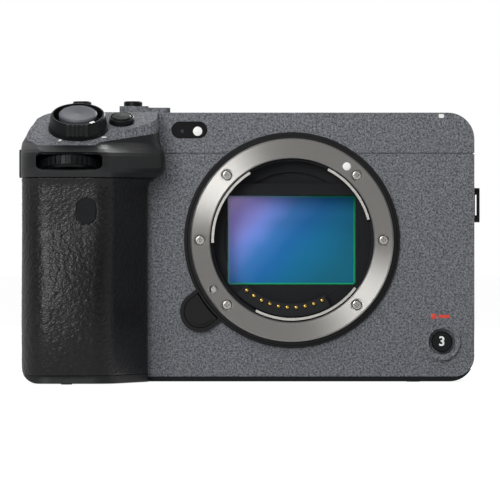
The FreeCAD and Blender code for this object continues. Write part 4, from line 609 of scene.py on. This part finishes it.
FINISHES = {
    "front_shell": PAINT, "top_cover": PAINT,
    "rear_shell": SHELL, "base_plate": SHELL, "battery_door": SHELL, "card_door": SHELL,
    "socket_block": NYLON, "side_grille": SHELL, "monitor_case": SHELL, "monitor_arm": SHELL,
    "grip_shell": HEAD, "grip_skin": HIDE,
    "mount_trim_ring": TRIM, "lens_release_button": TRIM, "throat_baffle": CHAMBER,
    "lens_mount_ring": RING, "bayonet_springs": SPRING, "mount_screws": SCREW, "mount_lock_pin": SCREW,
    "strap_lugs": TRIM, "accessory_shoe": CAST, "threaded_bushes": SCREW, "case_screws": SCREW,
    "lens_contact_block": NYLON, "lens_contact_pins": GOLD,
    "chassis": CAST, "shutter_frame": CHAMBER, "sensor_carriage": CAST, "sensor_stage": CAST,
    "curtain_blade_1": BLADE, "curtain_blade_2": BLADE, "curtain_blade_3": BLADE,
    "image_sensor": SENSOR, "heat_sink": FIN, "main_board": BOARD,
    "fan_housing": NYLON, "fan_rotor": NYLON, "battery": NYLON, "card_reader": NYLON,
    "battery_latch": CONTROL, "power_ring": CONTROL, "front_dial": CONTROL, "rear_dial": CONTROL,
    "top_button": CONTROL, "far_button": CONTROL, "record_button": CONTROL, "deck_button": CONTROL,
    "control_wheel": CONTROL, "wheel_button": CONTROL, "joystick": RUBBER, "menu_button": CONTROL,
    "playback_button": CONTROL, "delete_button": CONTROL, "shutter_button": CROWN,
    "tally_window": WINDOW, "remote_window": SHELL, "monitor_glass": WINDOW,
    "audio_door": RUBBER, "data_door": RUBBER, "base_feet": RUBBER,
}
for node, finish in FINISHES.items():
    skin = NODES[node].data
    skin.materials.clear()
    skin.materials.append(finish)


def dress(piece, finish, body, slot, *nodes):
    """Give a finished piece its material and its body, and hide the nodes that it stands for. The slot is
    not used.
    """
    piece.data.materials.clear()
    piece.data.materials.append(finish)
    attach(piece, body)
    if nodes:
        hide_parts(*nodes)


# Grip covering, full at the palm, with its pebbles pressed into the surface
def clear_window(piece):
    """Cut the covering clean round the pill-shaped remote window, with a fine gap."""
    gap = 0.3 * MM
    deep = 8.0 * MM
    lowest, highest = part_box("remote_window")
    wide = highest[0] - lowest[0] + gap
    high = highest[2] - lowest[2] + gap
    middle = (Vector(lowest) + Vector(highest)) / 2
    deselect()
    bpy.ops.mesh.primitive_cube_add(size=1.0, location=middle)
    punch = named("punch")
    punch.scale = (wide, deep, high)
    settle(punch)
    open_edges(punch, along("y", 1.0))
    bpy.ops.mesh.bevel(offset=wide * 0.49, segments=14, affect="EDGES")
    close()
    apply_modifier(piece, "BOOLEAN", object=punch, operation="DIFFERENCE", solver="EXACT")
    bpy.data.objects.remove(punch)


def press_in(piece, pattern, lean, depth):
    """Press a pattern into a piece, this many millimetres deep."""
    apply_modifier(piece, "DISPLACE", texture=pattern, texture_coords="OBJECT", texture_coords_object=lean,
                   direction="NORMAL", strength=depth * MM, mid_level=1.0)


def grip_covering():
    """A copy of the skin node, remeshed, filled out at the palm and then given its grain."""
    piece = bpy.data.objects.new("grip_leather", NODES["grip_skin"].data.copy())
    bpy.context.scene.collection.objects.link(piece)
    only(piece)
    bpy.ops.object.mode_set(mode="EDIT")
    bpy.ops.mesh.select_all(action="SELECT")
    bpy.ops.mesh.remove_doubles(threshold=0.000001)
    close()
    apply_modifier(piece, "REMESH", mode="VOXEL", voxel_size=0.32 * MM)
    apply_modifier(piece, "SMOOTH", factor=0.5, iterations=3)
    front_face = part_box("grip_skin")[0][1]
    palm = Vector((-65.0 * MM, front_face, 17.0 * MM))
    fuller = 4.2
    reach = 27.0
    open_faces(piece, lambda face: (face.center - palm).length < 3.0 * MM)
    bpy.ops.transform.translate(value=mm(0, -fuller, 0), use_proportional_edit=True,
                                proportional_edit_falloff="SMOOTH", proportional_size=reach * MM)
    close()
    lean = bpy.data.objects.new("grain_lean", None)
    bpy.context.scene.collection.objects.link(lean)
    lean.rotation_euler = (0, -GRAIN_LEAN, 0)
    lean.scale = (1.5, 1.0, 1.0)
    bpy.context.view_layer.update()
    pebbles = bpy.data.textures.new("pebbles", "VORONOI")
    pebbles.noise_scale = PEBBLE * MM
    pebbles.weight_1 = -1.0
    pebbles.weight_2 = 1.0
    pebbles.noise_intensity = 2.2
    press_in(piece, pebbles, lean, 0.1)
    rolls = bpy.data.textures.new("rolls", "CLOUDS")
    rolls.noise_scale = 0.8 * MM
    rolls.noise_depth = 1
    press_in(piece, rolls, lean, 0.17)
    bpy.data.objects.remove(lean)
    clear_window(piece)
    smooth(piece, 180)
    dress(piece, HIDE, "camera_body", "leather", "grip_skin")


grip_covering()


# Cross-head screws: one head shaped and copied
def cross_head(radius, high):
    """A flat head with a rounded edge and a tapered cross recess, its top at z = 0."""
    rim = 0.5
    round_off = 0.42
    wing = radius * 0.62
    slot_wide = radius * 0.3
    slot_deep = 1.1
    taper = 0.45
    deselect()
    bpy.ops.mesh.primitive_cylinder_add(vertices=40, radius=radius * MM, depth=high * MM,
                                        location=(0, 0, -high / 2 * MM))
    head = settle(named("screw_head"))
    open_faces(head, lambda face: face.normal.z > 0.9)
    bpy.ops.mesh.inset(thickness=rim * MM, depth=0.0)
    close()
    outside = (radius - 0.05) * MM
    open_edges(head, lambda a, b: above(-0.01)(a, b) and min(a.xy.length, b.xy.length) > outside)
    bpy.ops.mesh.bevel(offset=round_off * MM, segments=5, affect="EDGES")
    close()
    cutters = []
    for turn in (0, 90):
        deselect()
        bpy.ops.mesh.primitive_cube_add(size=1.0, location=(0, 0, -0.1 * MM))
        bar = named("recess")
        bar.scale = mm(2 * wing, slot_wide, slot_deep)
        bar.rotation_euler = (0, 0, math.radians(turn))
        settle(bar)
        open_faces(bar, lambda face: face.normal.z < -0.9)
        bpy.ops.transform.resize(value=(taper, taper, 1.0), center_override=(0, 0, 0))
        close()
        cutters.append(bar)
    for bar in cutters:
        apply_modifier(head, "BOOLEAN", object=bar, operation="DIFFERENCE", solver="EXACT")
        bpy.data.objects.remove(bar)
    return smooth(head)


SCREW_ANGLES = (0, 45, 135, 180, 225, 315)
SCREW_SUNK = 0.32
mount_heads = copies(cross_head(radius=1.4, high=0.75), "mount_screw_heads",
                     [lens_place(SCREW_CIRCLE, angle, FLANGE + SCREW_SUNK) for angle in SCREW_ANGLES],
                     FACE_FRONT)
dress(mount_heads, SCREW, "camera_body", "bright_steel", "mount_screws")

CASE_SCREWS = ((-32, -12), (38, -12), (-32, 22), (38, 22))
CASE_SCREW_SUNK = 0.12
case_heads = copies(cross_head(radius=1.45, high=0.7), "case_screw_heads",
                    [(x, y, CASE_SCREW_SUNK) for x, y in CASE_SCREWS],
                    FACE_DOWN)
dress(case_heads, SCREW, "camera_body", "bright_steel", "case_screws")


# Contact pins with domed tips
def domed_pin():
    high = 0.5
    deselect()
    bpy.ops.mesh.primitive_cylinder_add(vertices=24, radius=0.6 * MM, depth=high * MM,
                                        location=(0, 0, high / 2 * MM))
    pin = settle(named("pin"))
    open_edges(pin, above(0.45))
    bpy.ops.mesh.bevel(offset=0.4 * MM, segments=5, affect="EDGES")
    close()
    return smooth(pin, 60)


PIN_CIRCLE = 19.0
FIRST_PIN = 228.0
PIN_STEP = 7.63
PIN_BED = FRONT + 1.6
pins = copies(domed_pin(), "contact_pins",
              [lens_place(PIN_CIRCLE, FIRST_PIN + PIN_STEP * i, PIN_BED) for i in range(10)],
              FACE_FRONT)
dress(pins, GOLD, "camera_body", "gold", "lens_contact_pins")


# Printed and painted marks: thin prints that lie on their surface
def printed_disc(name, radius, place, turn, finish):
    deselect()
    bpy.ops.mesh.primitive_cylinder_add(vertices=40, radius=radius * MM, depth=PRINT * MM)
    dot = settle(named(name))
    open_edges(dot, above(0.03))
    bpy.ops.mesh.bevel(offset=0.03 * MM, segments=2, affect="EDGES")
    close()
    set_down(dot, place, turn)
    smooth(dot)
    dress(dot, finish, "camera_body", "control_plastic")


def printed_bar(name, wide, high, place, turn, finish):
    deselect()
    bpy.ops.mesh.primitive_cube_add(size=1.0)
    bar = named(name)
    bar.scale = mm(wide, high, PRINT)
    settle(bar)
    open_edges(bar, along("z", 0.01))
    bpy.ops.mesh.bevel(offset=min(wide, high) * 0.3 * MM, segments=3, affect="EDGES")
    close()
    set_down(bar, place, turn)
    smooth(bar)
    dress(bar, finish, "camera_body", "control_plastic")


printed_disc("mount_index_dot", 1.15, lens_place(SCREW_CIRCLE, 53.4, FLANGE - 0.01), FACE_FRONT, WHITE)
printed_disc("lamp_lens", 1.3, (-26.55, FRONT - PROUD, WINDOW_Z), FACE_FRONT, WHITE)
printed_disc("microphone_dimple", 0.55, (-30.85, FRONT - PROUD, WINDOW_Z), FACE_FRONT, CAST)
printed_disc("record_dot", 0.8, (39.9, FRONT, RECORD_MARK_Z), FACE_FRONT, RED)
printed_bar("record_bar", 3.2, 0.9, (42.9, FRONT, RECORD_MARK_Z), FACE_FRONT, RED)
printed_bar("edge_mark", 1.5, 1.1, (42.1, FRONT, 74.75), FACE_FRONT, WHITE)
printed_disc("power_mark_off", 0.42, on_deck(-4.85, -7.55, 0.03), ON_DECK, WHITE)
printed_bar("power_mark_on", 1.3, 0.6, on_deck(7.35, -5.6, 0.03), ON_DECK, WHITE)


# Numeral on the record button
def record_numeral():
    """A figure 2.7 mm high, printed on the button's face. The type's size is 1.38 times that."""
    high = 2.7
    deselect()
    bpy.ops.object.text_add()
    figure = named("record_numeral")
    figure.data.body = "3"
    figure.data.size = high * 1.38 * MM
    figure.data.align_x = "CENTER"
    figure.data.align_y = "CENTER"
    figure.data.extrude = 0.035 * MM
    figure.data.offset = 0.07 * MM
    figure.data.resolution_u = 6
    only(figure)
    bpy.ops.object.convert(target="MESH")
    figure = bpy.context.active_object
    set_down(figure, (42.2, FRONT - 0.72, 11.2), FACE_FRONT)
    dress(figure, WHITE, "record_key", "control_plastic")


record_numeral()


# Index on the ring lever: a white insert that crosses its thin rim
def lever_index():
    size = (1.05, 1.3, 1.5)
    wider_outside = 1.25
    angle = math.radians(-52.5)
    radius = 6.75
    below_top = 0.72
    deselect()
    bpy.ops.mesh.primitive_cube_add(size=1.0)
    insert = named("lever_index")
    insert.scale = mm(*size)
    settle(insert)
    open_faces(insert, lambda face: face.normal.x > 0.9)
    bpy.ops.transform.resize(value=(1.0, wider_outside, 1.0), center_override=(0, 0, 0))
    close()
    open_edges(insert, above(0.5))
    bpy.ops.mesh.bevel(offset=0.08 * MM, segments=2, affect="EDGES")
    close()
    turn = Euler(ON_DECK).to_matrix() @ Matrix.Rotation(angle, 3, "Z")
    middle = on_deck(radius * math.cos(angle), radius * math.sin(angle), LEVER_HIGH - below_top)
    set_down(insert, middle, turn.to_euler())
    smooth(insert)
    dress(insert, WHITE, "power_lever", "control_plastic")


lever_index()


# Thumb rest on the back: a raised patch of the same covering
def thumb_rest():
    size = (11.0, 1.4, 22.0)
    middle = (-66.5, 28.6, 50.0)
    corner = 3.5
    deselect()
    bpy.ops.mesh.primitive_cube_add(size=1.0)
    pad = named("thumb_rest")
    pad.scale = mm(*size)
    pad.location = mm(*middle)
    settle(pad)
    open_edges(pad, along("y", 1.0))
    bpy.ops.mesh.bevel(offset=corner * MM, segments=8, affect="EDGES")
    close()
    open_faces(pad, lambda face: face.normal.y > 0.9)
    bpy.ops.mesh.inset(thickness=0.8 * MM, depth=0.0)
    bpy.ops.transform.translate(value=mm(0, 0.5, 0))
    close()
    smooth(pad, 50)
    dress(pad, HIDE, "camera_body", "leather")


thumb_rest()


# Floor, light and camera

def pale_floor():
    """Painted board, rolled matt: diffuse and even, with a share of white that only the
    camera and clean reflections see."""
    seen_by_camera = 0.9
    seen_in_metal = 0.45
    made = bpy.data.materials.new("pale_floor")
    made.use_nodes = True
    tree = made.node_tree
    tree.nodes.clear()
    rays = add(tree, "ShaderNodeLightPath")
    clean = add(tree, "ShaderNodeMath", {
        0: rays.outputs["Is Glossy Ray"], 1: rays.outputs["Is Transmission Ray"]}, operation="MAXIMUM")
    dimmed = add(tree, "ShaderNodeMath", {0: clean.outputs["Value"], 1: seen_in_metal},
                 operation="MULTIPLY")
    seen = add(tree, "ShaderNodeMath", {0: rays.outputs["Is Camera Ray"], 1: seen_by_camera},
               operation="MULTIPLY")
    glow = add(tree, "ShaderNodeMath", {0: dimmed.outputs["Value"], 1: seen.outputs["Value"]},
               operation="MAXIMUM")
    white = add(tree, "ShaderNodeEmission", {"Color": linear("#ffffff"), "Strength": glow.outputs["Value"]})
    spot = add(tree, "ShaderNodeTexCoord")
    grit = add(tree, "ShaderNodeTexNoise", {"Vector": spot.outputs["Object"], "Scale": grain(40.0)})
    tone = add(tree, "ShaderNodeMix", {
        0: grit.outputs["Fac"], 6: linear("#8c8c8c"), 7: linear("#929292")}, data_type="RGBA")
    pale = add(tree, "ShaderNodeBsdfDiffuse", {"Color": tone.outputs[2]})
    both = add(tree, "ShaderNodeAddShader", {0: white.outputs["Emission"], 1: pale.outputs["BSDF"]})
    add(tree, "ShaderNodeOutputMaterial", {"Surface": both.outputs["Shader"]})
    return made


def floor():
    deselect()
    bpy.ops.mesh.primitive_plane_add(size=12.0, location=mm(0, 0, FLOOR_Z))
    ground = named("floor")
    settle(ground)
    ground.data.materials.append(pale_floor())


def surroundings():
    """A white room, seen by the camera and clean reflections, dark on the camera's side."""
    world = bpy.data.worlds.new("studio")
    bpy.context.scene.world = world
    world.use_nodes = True
    tree = world.node_tree
    tree.nodes.clear()
    rays = add(tree, "ShaderNodeLightPath")
    way = add(tree, "ShaderNodeTexCoord")
    apart = add(tree, "ShaderNodeSeparateXYZ", {"Vector": way.outputs["Generated"]})
    behind = add(tree, "ShaderNodeMapRange", {
        "Value": apart.outputs["Y"], "From Min": -0.4, "From Max": 0.3, "To Min": 0.19, "To Max": 0.75})
    shine = add(tree, "ShaderNodeMath", {
        0: rays.outputs["Is Glossy Ray"], 1: behind.outputs["Result"]}, operation="MULTIPLY")
    clear = add(tree, "ShaderNodeMath", {
        0: rays.outputs["Is Camera Ray"], 1: rays.outputs["Is Transmission Ray"]}, operation="MAXIMUM")
    seen = add(tree, "ShaderNodeMath", {
        0: clear.outputs["Value"], 1: shine.outputs["Value"]}, operation="MAXIMUM")
    above = add(tree, "ShaderNodeMapRange", {
        "Value": apart.outputs["Z"], "From Min": -0.3, "From Max": 0.8, "To Min": 0.03, "To Max": 0.35})
    soft = add(tree, "ShaderNodeMath", {
        0: rays.outputs["Is Diffuse Ray"], 1: above.outputs["Result"]}, operation="MULTIPLY")
    level = add(tree, "ShaderNodeMath", {
        0: seen.outputs["Value"], 1: soft.outputs["Value"]}, operation="MAXIMUM")
    sky = add(tree, "ShaderNodeBackground", {"Color": linear("#ffffff"), "Strength": level.outputs["Value"]})
    add(tree, "ShaderNodeOutputWorld", {"Surface": sky.outputs["Background"]})


def lamp(name, place, size, power, mirrored=True, aim=(0.0, 0.0, 0.04)):
    """A soft lamp: its place and size in metres, its power in watts. One that isn't mirrored
    lights the paint and leaves no highlight on metal."""
    deselect()
    bpy.ops.object.light_add(type="AREA", location=place)
    light = named(name)
    light.data.shape = "RECTANGLE"
    light.data.size, light.data.size_y = size
    light.data.energy = power
    light.visible_glossy = mirrored
    light.rotation_euler = (Vector(aim) - Vector(place)).to_track_quat("-Z", "Y").to_euler()


def camera():
    """A long lens, 1.5 m from the painted front, that sees 140.8 mm across it."""
    deselect()
    bpy.ops.object.camera_add(location=(-0.0118, -1.517, 0.037), rotation=FACE_FRONT)
    eye = named("camera")
    eye.data.sensor_width = 36.0
    eye.data.lens = 383.5
    eye.data.clip_start = 0.01
    bpy.context.scene.camera = eye


floor()
surroundings()
lamp("key_softbox", (-0.28, -0.66, 0.27), (0.28, 0.28), 2.5)
lamp("front_softbox", (-0.03, -1.3, 0.07), (0.3, 0.3), 4.4, mirrored=False)
lamp("top_softbox", (-0.07, -0.21, 0.28), (0.3, 0.1), 0.58, mirrored=False)
lamp("back_softbox", (0.2, 0.7, 0.5), (0.5, 0.4), 4.0)
camera()
bpy.context.scene.view_settings.view_transform = "Standard"
